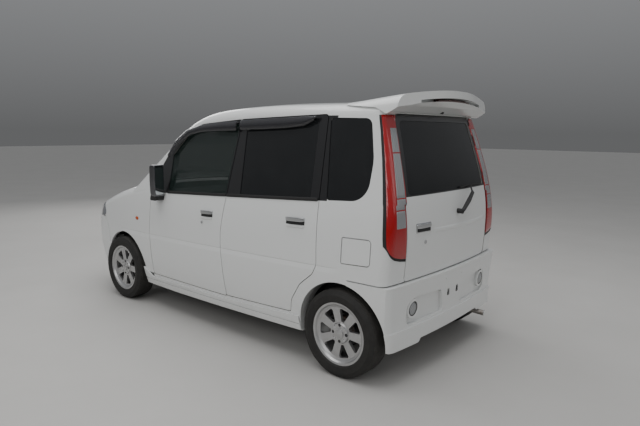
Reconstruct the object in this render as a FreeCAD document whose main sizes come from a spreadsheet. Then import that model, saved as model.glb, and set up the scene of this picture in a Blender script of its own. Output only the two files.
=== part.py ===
import FreeCAD, Part
import Sketcher
import math
import os

# A tall five-door kei car. +X is forward, +Y is the car's left, +Z is up.
# The origin is on the ground, half way along and half way across.
Vec = FreeCAD.Vector
doc = FreeCAD.newDocument("kei_car")

# Driving dimensions in mm: name, value, what it measures
SIZES = [
    ("body_length", 3395, "overall length"),
    ("body_width", 1475, "overall width without mirrors"),
    ("body_height", 1695, "ground to the top of the roof spoiler"),
    ("wheelbase", 2360, "front axle to rear axle"),
    ("front_overhang", 645, "front axle to the front bumper"),
    ("tyre_radius", 268, "outer radius of the tyre"),
    ("tyre_width", 165, "width of the tyre"),
    ("rim_radius", 190, "outer radius of the rim lip"),
    ("front_track", 1305, "between the front tyre centres"),
    ("rear_track", 1290, "between the rear tyre centres"),
    ("kingpin_y", 605, "centre line to the lower end of the steering axis"),
    ("front_arch", 315, "radius of the front wheel arch"),
    ("rear_arch", 310, "radius of the rear wheel arch"),
    ("sill_height", 190, "ground to the lowest edge of the sills"),
    ("side_wall", 100, "thickness of the body side, doors included"),
    ("door_wall", 55, "thickness of a side door and of the back door"),
    ("roof_wall", 45, "thickness of the roof and windscreen frame"),
    ("panel", 22, "thickness of bonnet, fenders and bumpers"),
    ("gap", 5, "gap between panels"),
    ("glass", 5, "thickness of the glass"),
    ("glass_step", 4, "how far the glass lies below the skin"),
    ("floor_top", 262, "ground to the top of the floor"),
    ("floor_sheet", 12, "thickness of the floor"),
    ("seat_width", 480, "width of a front seat"),
    ("steering_radius", 182, "radius of the steering wheel"),
]
sheet = doc.addObject("Spreadsheet::Sheet", "Sizes")
for row, (name, value, note) in enumerate(SIZES, 1):
    sheet.set(f"A{row}", name)
    sheet.set(f"B{row}", str(value))
    sheet.set(f"C{row}", note)
    sheet.setAlias(f"B{row}", name)
doc.recompute()
size = {name: float(sheet.get(name)) for name, value, note in SIZES}

half_width = size["body_width"] / 2
front_end = size["body_length"] / 2
rear_end = -front_end
front_axle = front_end - size["front_overhang"]
rear_axle = front_axle - size["wheelbase"]
sill = size["sill_height"]
gap = size["gap"]
panel = size["panel"]


# The outlines below are drawn on the nominal car. These three carry a drawn
# coordinate along when the axles, the ends, the width or the height move.
def along(x):
    """drawn x to real x: between the axles it stretches with the wheelbase"""
    if x > 1052.5:
        return front_axle + (x - 1052.5) * size["front_overhang"] / 645
    if x < -1307.5:
        return rear_axle + (x + 1307.5) * (rear_axle - rear_end) / 390
    return rear_axle + (x + 1307.5) * size["wheelbase"] / 2360


def across(y):
    """drawn y to real y"""
    return y * half_width / 737.5


def above(z):
    """drawn z to real z: the sill stays and the rest follows the height"""
    if z < 190:
        return z * sill / 190
    return sill + (z - 190) * (size["body_height"] - sill) / 1505


# The body side in section: a shallow arc from the sill over the widest point
# to the belt line, then a straight window line that leans in.
PLAN_RADIUS = 25000
WIDEST_X = -300
LEAN = 0.174
BELT_SLOPE = -0.05
REAR_RADIUS = 5955
NOSE_RADIUS = 2600


def pinch(x):
    """how much the plan view curves in at drawn x"""
    return (x - WIDEST_X) ** 2 / (2 * PLAN_RADIUS)


def belt(x):
    """height of the belt line at drawn x"""
    return 987 + BELT_SLOPE * (x - WIDEST_X)


def side_arc(x):
    """centre y, centre z and radius of the lower side arc at drawn x"""
    low, wide, top = (690, 190), (737.5, 610), (698, belt(x))
    ax, ay = low[0] - wide[0], low[1] - wide[1]
    bx, by = top[0] - wide[0], top[1] - wide[1]
    cross = 2 * (ax * by - ay * bx)
    a2, b2 = ax * ax + ay * ay, bx * bx + by * by
    cy = (by * a2 - ay * b2) / cross
    cz = (ax * b2 - bx * a2) / cross
    return wide[0] + cy, wide[1] + cz, math.hypot(cy, cz)


def side_y(x, z):
    """half width of the outer skin at drawn x and z"""
    y0, z0, radius = side_arc(x)
    level = min(z, belt(x))
    y = y0 + math.sqrt(radius ** 2 - (level - z0) ** 2)
    return y - pinch(x) - LEAN * max(0, z - belt(x))


def corner(centre, radius, start, lean, corner_radius):
    """round corner between a line and the inside of a circle

    The line runs from start towards growing v, leaning in by lean. Gives the
    corner's first point, its centre and its last point."""
    length = math.hypot(1, lean)
    d = (-lean / length, 1 / length)
    n = (-1 / length, -lean / length)
    q = (start[0] + n[0] * corner_radius - centre[0], start[1] + n[1] * corner_radius - centre[1])
    b = q[0] * d[0] + q[1] * d[1]
    c = q[0] ** 2 + q[1] ** 2 - (radius - corner_radius) ** 2
    t = -b + math.sqrt(b * b - c)
    mid = (centre[0] + q[0] + t * d[0], centre[1] + q[1] + t * d[1])
    out = (mid[0] - centre[0], mid[1] - centre[1])
    reach = math.hypot(*out)
    first = (mid[0] - n[0] * corner_radius, mid[1] - n[1] * corner_radius)
    last = (centre[0] + out[0] / reach * radius, centre[1] + out[1] / reach * radius)
    return first, mid, last


def arc(a, b, c):
    return Part.Arc(a, b, c).toShape()


def line(a, b):
    return Part.LineSegment(a, b).toShape()


def bend(first, centre, last, at, mirror=1):
    """arc about a centre as one cubic curve, which lofts lightly"""
    if mirror < 0:
        first, last = last, first
    a0 = math.atan2(first[1] - centre[1], first[0] - centre[0])
    a1 = math.atan2(last[1] - centre[1], last[0] - centre[0])
    k = 4 / 3 * math.tan((a1 - a0) / 4)
    p1 = (first[0] - k * (first[1] - centre[1]), first[1] + k * (first[0] - centre[0]))
    p2 = (last[0] + k * (last[1] - centre[1]), last[1] - k * (last[0] - centre[0]))
    curve = Part.BezierCurve()
    curve.setPoles([at(p, mirror) for p in (first, p1, p2, last)])
    return curve.toShape()


def section(x, top, sag, shoulder, inset, top_inset, round_radius):
    """closed wire across the car at drawn x, with its crown at drawn top"""
    y0, z0, radius = side_arc(x)
    shoulder = min(shoulder, belt(x))
    centre = (y0 - pinch(x) - inset, z0)
    low = (side_y(x, 190) - inset, 190)
    high = (side_y(x, shoulder) - inset, shoulder)
    lean = (shoulder - z0) / math.sqrt(radius ** 2 - (shoulder - z0) ** 2)
    crown = top - top_inset
    crown_radius = (600 ** 2 + sag ** 2) / (2 * sag)
    crown_centre = (0, crown - crown_radius)
    small = max(round_radius - top_inset, 20)
    first, middle, last = corner(crown_centre, crown_radius, high, lean, small)

    def at(point, mirror=1):
        return Vec(along(x), across(point[0]) * mirror, above(point[1]))

    return Part.Wire([
        bend(low, centre, high, at),
        line(at(high), at(first)),
        bend(first, middle, last, at),
        bend(last, crown_centre, (0, crown), at),
        bend(last, crown_centre, (0, crown), at, -1),
        bend(first, middle, last, at, -1),
        line(at(first, -1), at(high, -1)),
        bend(low, centre, high, at, -1),
        line(at(low, -1), at(low)),
    ])


# Crown line of roof and windscreen: drawn x, height, sag 600 mm off centre
ROOF = [
    (-1760, 1612, 40), (-1300, 1638, 42), (-850, 1642, 42), (-400, 1637, 44),
    (-100, 1622, 50), (100, 1596, 62), (250, 1548, 74), (400, 1454, 82),
    (600, 1311, 86), (800, 1168, 86), (980, 1039, 86),
]
SCREEN_SLOPE = 0.7165
# The windscreen runs on this far below the bonnet
SCREEN_BELOW = 260
# Crown line of the bonnet: drawn x, height, sag
BONNET = [(560, 1075, 40), (900, 1026, 40), (1150, 968, 42), (1400, 886, 46), (1600, 795, 50), (1780, 690, 54)]
# Tail in side view: drawn height, x, corner radius in plan
TAIL = [(150, -1645, 60), (640, -1656, 60), (1060, -1647, 60), (1310, -1585, 58), (1560, -1506, 55), (1760, -1440, 50)]
# Nose in side view: drawn height, x, corner radius in plan
NOSE = [(150, 1640, 200), (300, 1680, 210), (470, 1697.5, 210), (640, 1683, 200), (800, 1618, 180), (1000, 1500, 160)]


def end_loft(table, radius, inset, sign):
    """closed solid that rounds the tail (sign -1) or the nose (sign 1)"""
    wires = []
    far = -sign * 2600
    for z, x, corner_radius in table:
        near = x - sign * corner_radius
        start = (side_y(near, z) - inset, sign * near)
        small = max(corner_radius - inset, 15)
        centre = (0, sign * x - radius)
        first, middle, last = corner(centre, radius - inset, start, 0.075, small)
        wide = (start[0] + 0.075 * (sign * near - sign * far), sign * far)

        def at(point, mirror=1):
            return Vec(along(sign * point[1]), across(point[0]) * mirror, above(z))

        tip = (0, sign * x - inset)
        wires.append(Part.Wire([
            line(at(wide), at(first)),
            bend(first, middle, last, at),
            bend(last, centre, tip, at),
            bend(last, centre, tip, at, -1),
            bend(first, middle, last, at, -1),
            line(at(first, -1), at(wide, -1)),
            line(at(wide, -1), at(wide)),
        ]))
    return Part.makeLoft(wires, True, False, False, 3)


def cabin(side, roof, tail):
    """solid envelope of the cabin, set in by side, roof and tail"""
    wires = [section(x, top, sag, 2000, side, roof, 80) for x, top, sag in ROOF]
    x, top, sag = ROOF[-1]
    fall = SCREEN_BELOW * SCREEN_SLOPE
    wires.append(section(x + SCREEN_BELOW, top - fall, sag, belt(x) - fall - 90, side, roof, 80))
    body = Part.makeLoft(wires, True, False, False, 3)
    return body.common(end_loft(TAIL, REAR_RADIUS, tail, -1)).Solids[0]


def nose(side, top, front):
    """solid envelope of the bonnet, fenders and front bumper"""
    wires = [section(x, z, sag, z - sag - 110, side, top, 90) for x, z, sag in BONNET]
    body = Part.makeLoft(wires, True, False, False, 3)
    return body.common(end_loft(NOSE, NOSE_RADIUS, front, 1)).Solids[0]


def outline(points, at):
    """closed wire through (u, v, corner radius) points"""
    corners = []
    for i, (u, v, radius) in enumerate(points):
        p = at(u, v)
        a = at(*points[i - 1][:2]) - p
        b = at(*points[(i + 1) % len(points)][:2]) - p
        if radius == 0:
            corners.append((p, p, None))
            continue
        half = a.getAngle(b) / 2
        a.normalize()
        b.normalize()
        back = radius / math.tan(half)
        toward = a + b
        toward.normalize()
        middle = p + toward * (radius / math.sin(half) - radius)
        corners.append((p + a * back, p + b * back, middle))
    edges = []
    for i, (first, last, middle) in enumerate(corners):
        if middle is not None:
            edges.append(arc(first, middle, last))
        following = corners[(i + 1) % len(corners)][0]
        if (following - last).Length > 1e-6:
            edges.append(line(last, following))
    return Part.Wire(edges)


def side_prism(points, y0, y1):
    """prism across the car from a side view outline of drawn (x, z, radius)"""
    wire = outline(points, lambda x, z: Vec(along(x), across(y0), above(z)))
    return Part.Face(wire).extrude(Vec(0, across(y1 - y0), 0))


def end_prism(points, x0, x1):
    """prism along the car from an end view outline of drawn (y, z, radius)"""
    wire = outline(points, lambda y, z: Vec(along(x0), across(y), above(z)))
    return Part.Face(wire).extrude(Vec(along(x1) - along(x0), 0, 0))


def top_prism(points, z0, z1):
    """upright prism from a plan view outline of drawn (x, y, radius)"""
    wire = outline(points, lambda x, y: Vec(along(x), across(y), above(z0)))
    return Part.Face(wire).extrude(Vec(0, 0, above(z1) - above(z0)))


def block(x0, x1, y0, y1, z0, z1):
    """plain box between drawn limits"""
    corner_point = Vec(along(x0), across(y0), above(z0))
    far = Vec(along(x1), across(y1), above(z1))
    return Part.makeBox(far.x - corner_point.x, far.y - corner_point.y, far.z - corner_point.z, corner_point)


def grow(points, by):
    """outline moved outwards by a distance, corner radii kept in step"""
    count = len(points)
    area = sum(points[i - 1][0] * points[i][1] - points[i][0] * points[i - 1][1] for i in range(count))
    turn = 1 if area > 0 else -1
    grown = []
    for i, (u, v, radius) in enumerate(points):
        pu, pv, _ = points[i - 1]
        nu, nv, _ = points[(i + 1) % count]
        d0 = (u - pu, v - pv)
        d1 = (nu - u, nv - v)
        l0, l1 = math.hypot(*d0), math.hypot(*d1)
        n0 = (d0[1] / l0 * turn, -d0[0] / l0 * turn)
        n1 = (d1[1] / l1 * turn, -d1[0] / l1 * turn)
        k = by / (1 + n0[0] * n1[0] + n0[1] * n1[1])
        convex = (d0[0] * d1[1] - d0[1] * d1[0]) * turn > 0
        new_radius = radius
        if radius > 0:
            new_radius = max(radius + (by if convex else -by), 1)
        grown.append((u + (n0[0] + n1[0]) * k, v + (n0[1] + n1[1]) * k, new_radius))
    return grown


def mirrored(shape):
    return shape.mirror(Vec(0, 0, 0), Vec(0, 1, 0))


def both(shape):
    return [shape, mirrored(shape)]


def between(prism, outer, inner):
    """the part of a prism that lies inside one envelope and outside another"""
    return prism.common(outer).cut(inner)


nodes = []


def piece(name, shape):
    """one named sub-part of the car; a single solid loses its wrapper"""
    solids = shape.Solids
    shape = solids[0] if len(solids) == 1 else Part.Compound(solids)
    item = doc.addObject("Part::Feature", name)
    item.Label = name
    item.Shape = shape
    nodes.append(item)
    return item


def rod(a, b, radius):
    """round bar between two points"""
    way = b - a
    return Part.makeCylinder(radius, way.Length, a, way)


def bar(name, a, b, radius):
    """round bar between two points; the radius may be an expression"""
    item = doc.addObject("Part::Cylinder", name)
    way = b - a
    item.Height = way.Length
    item.Placement = FreeCAD.Placement(a, FreeCAD.Rotation(Vec(0, 0, 1), way))
    if isinstance(radius, str):
        item.setExpression("Radius", radius)
    else:
        item.Radius = radius
    return item


def brick(name, low, high):
    """upright box between two corner points"""
    item = doc.addObject("Part::Box", name)
    item.Length, item.Width, item.Height = high - low
    item.Placement.Base = low
    return item


def fused(name, items):
    """one sub-part from several primitives"""
    item = doc.addObject("Part::MultiFuse", name)
    item.Shapes = items
    item.Label = name
    return item


def flipped(name, source):
    """mirror image of an object about the middle of the car"""
    item = doc.addObject("Part::Mirroring", name)
    item.Source = source
    item.Normal = Vec(0, 1, 0)
    item.Label = name
    return item


def plane_sketch(body, name, role):
    """empty sketch on one of a body's own origin planes"""
    plane = next(item for item in body.Origin.OriginFeatures if item.Role == role)
    sketch = body.newObject("Sketcher::SketchObject", name)
    sketch.AttachmentSupport = [(plane, "")]
    sketch.MapMode = "FlatFace"
    return sketch


def bound_sketch(body, name, role, points):
    """closed sketch whose corners are expressions of the sizes"""
    sketch = plane_sketch(body, name, role)
    corners = [Vec(*[float(body.evalExpression(value)) for value in point]) for point in points]
    count = len(points)
    for i, start in enumerate(corners):
        sketch.addGeometry(Part.LineSegment(start, corners[(i + 1) % count]), False)
    for i, point in enumerate(points):
        sketch.addConstraint(Sketcher.Constraint("Coincident", i, 2, (i + 1) % count, 1))
        for way, value, number in zip(("DistanceX", "DistanceY"), point, corners[i]):
            index = sketch.addConstraint(Sketcher.Constraint(way, -1, 1, i, 1, number))
            if "Sizes" in value:
                sketch.setExpression(f"Constraints[{index}]", value)
    return sketch


def rounded_sketch(body, name, role, points):
    """closed sketch through (u, v, corner radius) points"""
    sketch = plane_sketch(body, name, role)
    for edge in outline(points, lambda u, v: Vec(u, v, 0)).Edges:
        start, end = edge.firstVertex().Point, edge.lastVertex().Point
        if isinstance(edge.Curve, Part.Circle):
            middle = edge.valueAt((edge.FirstParameter + edge.LastParameter) / 2)
            sketch.addGeometry(Part.Arc(start, middle, end), False)
        else:
            sketch.addGeometry(Part.LineSegment(start, end), False)
    return sketch


def turned(name, points):
    """body revolved about Y from a bound sketch of (radius, y) corners"""
    body = doc.addObject("PartDesign::Body", name)
    body.Label = name
    sketch = bound_sketch(body, f"{name}_profile", "XY_Plane", points)
    turn = body.newObject("PartDesign::Revolution", f"{name}_turn")
    turn.Profile = sketch
    turn.ReferenceAxis = (sketch, ["V_Axis"])
    turn.Angle = 360
    doc.recompute()
    return body, turn


def pocket_ring(body, sketch, count, start):
    """through pocket repeated round Y; the cut has to take something away"""
    volume = body.Shape.Volume
    pocket = body.newObject("PartDesign::Pocket", f"{sketch.Name}_cut")
    pocket.Profile = sketch
    pocket.Type = "ThroughAll"
    pocket.Midplane = True
    doc.recompute()
    ring = body.newObject("PartDesign::PolarPattern", f"{sketch.Name}_ring")
    ring.Originals = [pocket]
    ring.Axis = (next(item for item in body.Origin.OriginFeatures if item.Role == "Y_Axis"), [""])
    ring.Angle = 360
    ring.Occurrences = count
    body.Tip = ring
    doc.recompute()
    if ring.Shape.Volume > volume - count:
        raise RuntimeError(f"{sketch.Name} cuts nothing")


PIN = 5
PIN_FIT = 0.3
# The side doors' hinge axes lean in with the windows
HINGE_LEAN = 3.5
HINGE_REF = 600
BACK_LEAN = 1.5
FLANGE = 16


def door_hinge(x, y, root_y, front_x, low, high):
    """upright hinge of a left side door: what the body gains, what the door loses

    The body's arm reaches from root_y out to the pin at (x, y), and the door
    has a notch round it that opens towards its front edge."""
    arm = Part.makeBox(12, y - root_y, high - low, Vec(x - 6, root_y, low))
    arm = arm.fuse(Part.makeBox(38, 26, high - low, Vec(x - 6, root_y, low)))
    end = Part.makeCylinder(6, high - low, Vec(x, y, low))
    pin = Part.makeCylinder(PIN, high - low + 24, Vec(x, y, low - 12))
    notch = Part.makeBox(front_x - x + 9, 90, high - low + 2, Vec(x - 9, y + 6.8 - 90, low - 1))
    bore = Part.makeCylinder(PIN + PIN_FIT, high - low + 25, Vec(x, y, low - 12.5))
    arm, notch = arm.fuse([end, pin]), notch.fuse(bore)
    for shape in (arm, notch):
        shape.rotate(Vec(x, y, HINGE_REF), Vec(1, 0, 0), HINGE_LEAN)
    return arm, notch


def stepped(points, make_prism, flange_inside, frame_inside, margin=12):
    """door blank: a skin flange of the full outline on a smaller inner frame"""
    flange = between(make_prism(points), skin, flange_inside)
    frame = between(make_prism(grow(points, -margin)), skin, frame_inside)
    return frame.fuse(flange)


# Envelopes used by all the panels
skin = cabin(0, 0, 0)
hollow = cabin(size["side_wall"], size["roof_wall"], size["side_wall"])
flange_back = cabin(FLANGE, size["roof_wall"], FLANGE)
door_back = cabin(size["door_wall"], size["roof_wall"], size["door_wall"])
door_pocket = cabin(size["door_wall"] + gap, size["roof_wall"] + 1, size["door_wall"] + gap)
# The back door stays behind the roof panel
tail_flange_back = cabin(FLANGE, 0, FLANGE)
tail_door_back = cabin(size["door_wall"], 0, size["door_wall"])
tail_pocket = cabin(size["door_wall"] + gap, 0, size["door_wall"] + gap)
glass_out = cabin(size["glass_step"], size["glass_step"], size["glass_step"])
glass_in = cabin(*[size["glass_step"] + size["glass"]] * 3)
nose_skin = nose(0, 0, 0)
nose_hollow = nose(panel, panel, panel)

# Side view outlines of the doors and windows: drawn x, z, corner radius
FRONT_DOOR = [
    (617, 290, 12), (637, 887, 30), (600, 1085, 120), (448, 1292, 200), (259, 1441, 180),
    (84, 1489, 300), (-352, 1520, 8), (-293, 974, 60), (-266, 759, 200), (-272, 634, 400), (-302, 296, 12),
]
REAR_DOOR = [
    (-308, 301, 12), (-278, 634, 400), (-272, 759, 200), (-299, 974, 60), (-358, 1521, 8),
    (-1112, 1546, 20), (-1127, 959, 60), (-1140, 660, 30), (-1110, 600, 60), (-1010, 520, 60), (-935, 405, 90), (-919, 322, 12),
]
FRONT_WINDOW = [(408, 968, 25), (408, 1262, 30), (218, 1442, 60), (20, 1478, 200), (-340, 1500, 20), (-289, 1003, 20)]
REAR_WINDOW = [(-436, 1011, 20), (-413, 1503, 20), (-1048, 1524, 20), (-1059, 1042, 20)]
QUARTER_WINDOW = [(-1183, 1047, 18), (-1134, 1529, 20), (-1424, 1523, 50), (-1474, 1290, 300), (-1462, 1063, 115)]
FRONT_HOLE = grow(FRONT_DOOR, -38)
REAR_HOLE = grow(REAR_DOOR, -38)
BACK_DOOR = [
    (-524, 606, 20), (524, 606, 20), (524, 1080, 80), (457, 1546, 30), (-457, 1546, 30), (-524, 1080, 80),
]
BACK_LEAF = [
    (-520, 606, 20), (524, 606, 20), (524, 1080, 80), (457, 1546, 30), (-453, 1546, 30), (-520, 1080, 80),
]
BACK_WINDOW = [(-490, 1094, 30), (490, 1094, 30), (430, 1512, 30), (-430, 1512, 30)]
SCREEN = [(-585, 1010, 30), (585, 1010, 30), (585, 1150, 300), (520, 1515, 50), (-520, 1515, 50), (-585, 1150, 300)]
LAMP = [(524 + gap, 750, 10), (735, 750, 10), (735, 900, 60), (607, 1524, 30), (460 + gap, 1545, 10), (524 + gap, 1080, 60)]
LAMP_SIDE_VIEW = [(-1900, 600, 0), (-1640, 600, 0), (-1636, 790, 60), (-1505, 1560, 0), (-1505, 1700, 0), (-1900, 1700, 0)]
BACK_HINGE_ROOM = [(-530, 600, 0), (-440, 600, 0), (-440, 1090, 0), (-350, 1545, 0), (-457, 1551, 0), (-530, 1084, 0)]
HINGE_ROOM = 91
SEAT = 0.3
INNER_Y, OUTER_Y = 380, 900

# Hinges of the side doors: pin x and y, root y, front limit of the notch
HINGE_HEIGHTS = [(460, 500), (720, 760)]
FRONT_HINGE = (along(585), across(700), across(620), along(660))
REAR_HINGE = (along(-325), across(714), across(626), along(-250))
front_hinges = [door_hinge(*FRONT_HINGE, above(low), above(high)) for low, high in HINGE_HEIGHTS]
rear_hinges = [door_hinge(*REAR_HINGE, above(low), above(high)) for low, high in HINGE_HEIGHTS]

# Side doors, each as thick as the whole door, windows cut
front_window_hole = side_prism(FRONT_WINDOW, INNER_Y, OUTER_Y)
rear_window_hole = side_prism(REAR_WINDOW, INNER_Y, OUTER_Y)


def side_blank(drawn):
    """prism of a side door's outline"""
    return side_prism(drawn, INNER_Y, OUTER_Y)


front_door = stepped(FRONT_DOOR, side_blank, flange_back, door_back).cut(front_window_hole)
rear_door = stepped(REAR_DOOR, side_blank, flange_back, door_back).cut(rear_window_hole)
front_door = front_door.cut([notch for arm, notch in front_hinges])
rear_door = rear_door.cut([notch for arm, notch in rear_hinges])
front_glass = between(front_window_hole, glass_out, glass_in)
rear_glass = between(rear_window_hole, glass_out, glass_in)
for side, flip in (("left", False), ("right", True)):
    for name, shape in (
        ("front_door", front_door), ("rear_door", rear_door),
        ("front_door_glass", front_glass), ("rear_door_glass", rear_glass),
    ):
        piece(f"{name}_{side}", mirrored(shape) if flip else shape)

# Back door, hinged at the right, with its glass
tail_zone = (-1900, -1400)
back_hole = end_prism(BACK_WINDOW, *tail_zone)


def tail_blank(drawn):
    """prism of the back door's outline"""
    return end_prism(drawn, *tail_zone)


back_door = stepped(BACK_LEAF, tail_blank, tail_flange_back, tail_door_back).cut(back_hole)
BACK_PIN = Vec(along(-1625), across(-490), above(700))
back_hinges = []
for low, high in ((660, 700), (940, 980)):
    z, tall = above(low), above(high) - above(low)
    at_low = Vec(BACK_PIN.x, BACK_PIN.y, z)
    arm = Part.makeBox(96, 12, tall, at_low + Vec(0, -6, 0))
    end = Part.makeCylinder(6, tall, at_low)
    pin = Part.makeCylinder(PIN, tall + 24, at_low - Vec(0, 0, 12))
    notch = Part.makeBox(90, 90, tall + 2, at_low + Vec(-8, 9 - 90, -1))
    bore = Part.makeCylinder(PIN + PIN_FIT, tall + 25, at_low - Vec(0, 0, 12.5))
    arm, notch = arm.fuse([end, pin]), notch.fuse(bore)
    for shape in (arm, notch):
        shape.rotate(BACK_PIN, Vec(0, 1, 0), BACK_LEAN)
    back_hinges.append(arm)
    back_door = back_door.cut(notch)
piece("back_door", back_door)
piece("back_glass", between(back_hole, glass_out, glass_in))

# Body shell: sills, pillars, roof and rear quarters. The left half is made
# and mirrored.
half_space = block(-2000, 1400, 0, 1000, 205, 1900)
wall = between(half_space, skin, hollow)
front_arch = Part.makeCylinder(size["front_arch"], across(1600), Vec(front_axle, -across(800), size["tyre_radius"]), Vec(0, 1, 0))
arch = Part.makeCylinder(size["rear_arch"], across(1600), Vec(rear_axle, -across(800), size["tyre_radius"]), Vec(0, 1, 0))
quarter_hole = side_prism(QUARTER_WINDOW, INNER_Y, OUTER_Y)
screen_hole = end_prism(SCREEN, -50, 1150)
LID = [(-1326, 700, 6), (-1326, 846, 6), (-1516, 852, 20), (-1516, 708, 20)]
# The room ahead of the lid is wider, because its front edge swings through it
lid_room = [(x + 1.5 if x > -1330 else x, z, radius) for x, z, radius in grow(LID, gap)]
lid_pocket = side_prism(lid_room, 500, 900).cut(cabin(26, 26, 26))
lid_pin = Vec(along(-1338), across(side_y(-1338, 775)) - 9, above(775))
lid_eye = Part.makeCylinder(5, 28, lid_pin - Vec(0, 0, 14)).cut(Part.makeCylinder(2.8, 30, lid_pin - Vec(0, 0, 15)))
lid_lugs = Part.makeCylinder(2.5, 64, lid_pin - Vec(0, 0, 32))
lid_lugs = lid_lugs.fuse([Part.makeBox(9, 20, 16, lid_pin + Vec(-9, -20, z)) for z in (-31, 15)])
pockets = []
for drawn, hole in ((FRONT_DOOR, FRONT_HOLE), (REAR_DOOR, REAR_HOLE)):
    pockets.append(side_prism(grow(drawn, gap), INNER_Y, OUTER_Y).cut(door_pocket))
    pockets.append(side_prism(hole, INNER_Y, OUTER_Y))
pockets.append(quarter_hole)
pockets.append(screen_hole)
pockets.append(end_prism(grow(BACK_DOOR, gap), -1900, -1400).cut(tail_pocket))
pockets.append(end_prism(grow(BACK_DOOR, -30), -1900, -1300))
lamp_zone = end_prism(LAMP, -1900, -1400).common(side_prism(LAMP_SIDE_VIEW, 300, 900))
lamp_body = between(lamp_zone, skin, cabin(48, 48, 48))
lamp_room = end_prism(grow(LAMP, SEAT), -1900, -1400).common(side_prism(grow(LAMP_SIDE_VIEW, SEAT), 300, 900))
pockets.append(lamp_room.cut(cabin(48 + SEAT, 48 + SEAT, 48 + SEAT)))
pockets.append(arch)
nose_outside = nose(-1, -1, -1)
FENDER_ZONE = [(622, 100, 0), (642, 887, 0), (642, 1000, 0), (760, 1000, 0), (760, 100, 0)]
fender_room = side_prism(FENDER_ZONE, 400, 900)
pockets.append(between(fender_room, nose_outside, nose(panel + SEAT, panel + SEAT, panel)))
pockets.append(block(735, 1500, -900, 900, 0, 1100).common(nose_outside))
for x0, x1, low, high in ((545, 640, 285, 1000), (-372, -262, 296, 1000)):
    relief = side_prism([(x0, low, 0), (x1, low, 0), (x1, high, 0), (x0, high, 0)], 500, 900)
    pockets.append(relief.cut(cabin(HINGE_ROOM, HINGE_ROOM, HINGE_ROOM)))
pockets.append(block(-1900, -1365, -900, 900, 0, 606).cut(cabin(panel + gap, panel, panel + 40)))
left = wall
for pocket in pockets:
    left = left.cut(pocket)
left = max(left.Solids, key=lambda solid: solid.Volume)
left = left.fuse([arm for arm, notch in front_hinges + rear_hinges])
right = mirrored(left).cut(end_prism(BACK_HINGE_ROOM, -1900, -1400).cut(cabin(HINGE_ROOM, 60, HINGE_ROOM)))
shell = left.cut(lid_pocket).fuse([right, lid_lugs] + back_hinges)
piece("body_shell", shell)
piece("windscreen", between(screen_hole, glass_out, glass_in))
piece("quarter_glasses", Part.Compound(both(between(quarter_hole, glass_out, glass_in))))
piece("tail_lamp_left", lamp_body)
piece("tail_lamp_right", mirrored(lamp_body))

# Rear bumper: stands proud of the back door and wraps round to the arches.
# A recessed field on each side holds a round lamp, the middle stays proud for
# the plate, and a lip runs along its foot.
BUMPER_PROUD, LIP_PROUD, FIELD_DEPTH = 34, 43, 20
LAMP_Y, LAMP_Z, LAMP_RADIUS, LAMP_BOSS = 450, 436, 44, 58
BUMPER_TOP, LIP_TOP, BUMPER_LOW = 600, 330, 220
PLATE_HOLE_Y, PLATE_HOLE_Z = 105, 548
FIELD = [(112, 345, 20), (150, 492, 30), (440, 506, 60), (515, 470, 50), (515, 345, 40)]
NOTCH = [(-410, BUMPER_LOW - 10, 0), (-372, 242, 8), (372, 242, 8), (410, BUMPER_LOW - 10, 0)]
PLATE_SLOT = [(50, 438, 3), (66, 438, 3), (66, 474, 3), (50, 474, 3)]
bumper_inside = cabin(panel, 0, panel - 20)
bumper_face = cabin(-4, 0, -BUMPER_PROUD)
upper = between(block(-1900, -1365, -900, 900, LIP_TOP - 5, BUMPER_TOP), bumper_face, bumper_inside)
lip = between(block(-1900, -1365, -900, 900, BUMPER_LOW, LIP_TOP), cabin(-8, 0, -LIP_PROUD), bumper_inside)
field_floor = cabin(-4, 0, -BUMPER_PROUD + FIELD_DEPTH)
lamp_axis = Vec(-1900, across(LAMP_Y), above(LAMP_Z))
boss = Part.makeCylinder(LAMP_BOSS, 600, lamp_axis, Vec(1, 0, 0))
field = end_prism(FIELD, -1900, -1500).cut(field_floor).cut(boss)
slots = end_prism(PLATE_SLOT, -1900, -1500)
rear_bumper = upper.cut(both(field) + both(slots)).fuse(lip).cut(arch).cut(end_prism(NOTCH, -1900, -1300))
lamp_bore = Part.makeCylinder(LAMP_RADIUS + SEAT, 400, lamp_axis + Vec(150, 0, 0), Vec(1, 0, 0))
plate_hole = rod(Vec(-1900, across(PLATE_HOLE_Y), above(PLATE_HOLE_Z)), Vec(-1500, across(PLATE_HOLE_Y), above(PLATE_HOLE_Z)), 3.5)
rear_bumper = rear_bumper.cut(both(lamp_bore) + both(plate_hole))
piece("rear_bumper", rear_bumper)

# Nose: bonnet, fenders, bumper, headlamps and grille all share its envelope
BONNET_PLAN = [(1075, 0, 0), (1060, 300, 0), (985, 590, 20), (1300, 600, 300), (1575, 560, 60), (1640, 300, 0), (1652, 0, 0)]
bonnet_plan = BONNET_PLAN + [(x, -y, r) for x, y, r in reversed(BONNET_PLAN[1:-1])]
bonnet_prism = top_prism(bonnet_plan, 700, 1200)
LAMP_SIDE = [(1385, 690, 30), (1700, 640, 10), (1750, 790, 10), (1600, 830, 10), (1440, 800, 30)]
headlamp_zone = side_prism(LAMP_SIDE, 380, 800)
headlamp = between(headlamp_zone, nose_skin, nose_hollow)
bonnet = between(bonnet_prism, nose_skin, nose_hollow).cut(block(1560, 1900, -900, 900, 0, 760)).cut(both(side_prism(grow(LAMP_SIDE, gap), 376, 800)))
HOOD_PIN = Vec(along(975), 0, above(955))
hood_lug = block(967, 1020, 521, 535, 947, 1000).common(nose(panel - 4, panel - 4, panel))
hood_pin = rod(HOOD_PIN + Vec(0, across(525), 0), HOOD_PIN + Vec(0, across(552), 0), PIN)
bonnet = bonnet.fuse(both(hood_lug.fuse(hood_pin)))
piece("bonnet", bonnet)
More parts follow.
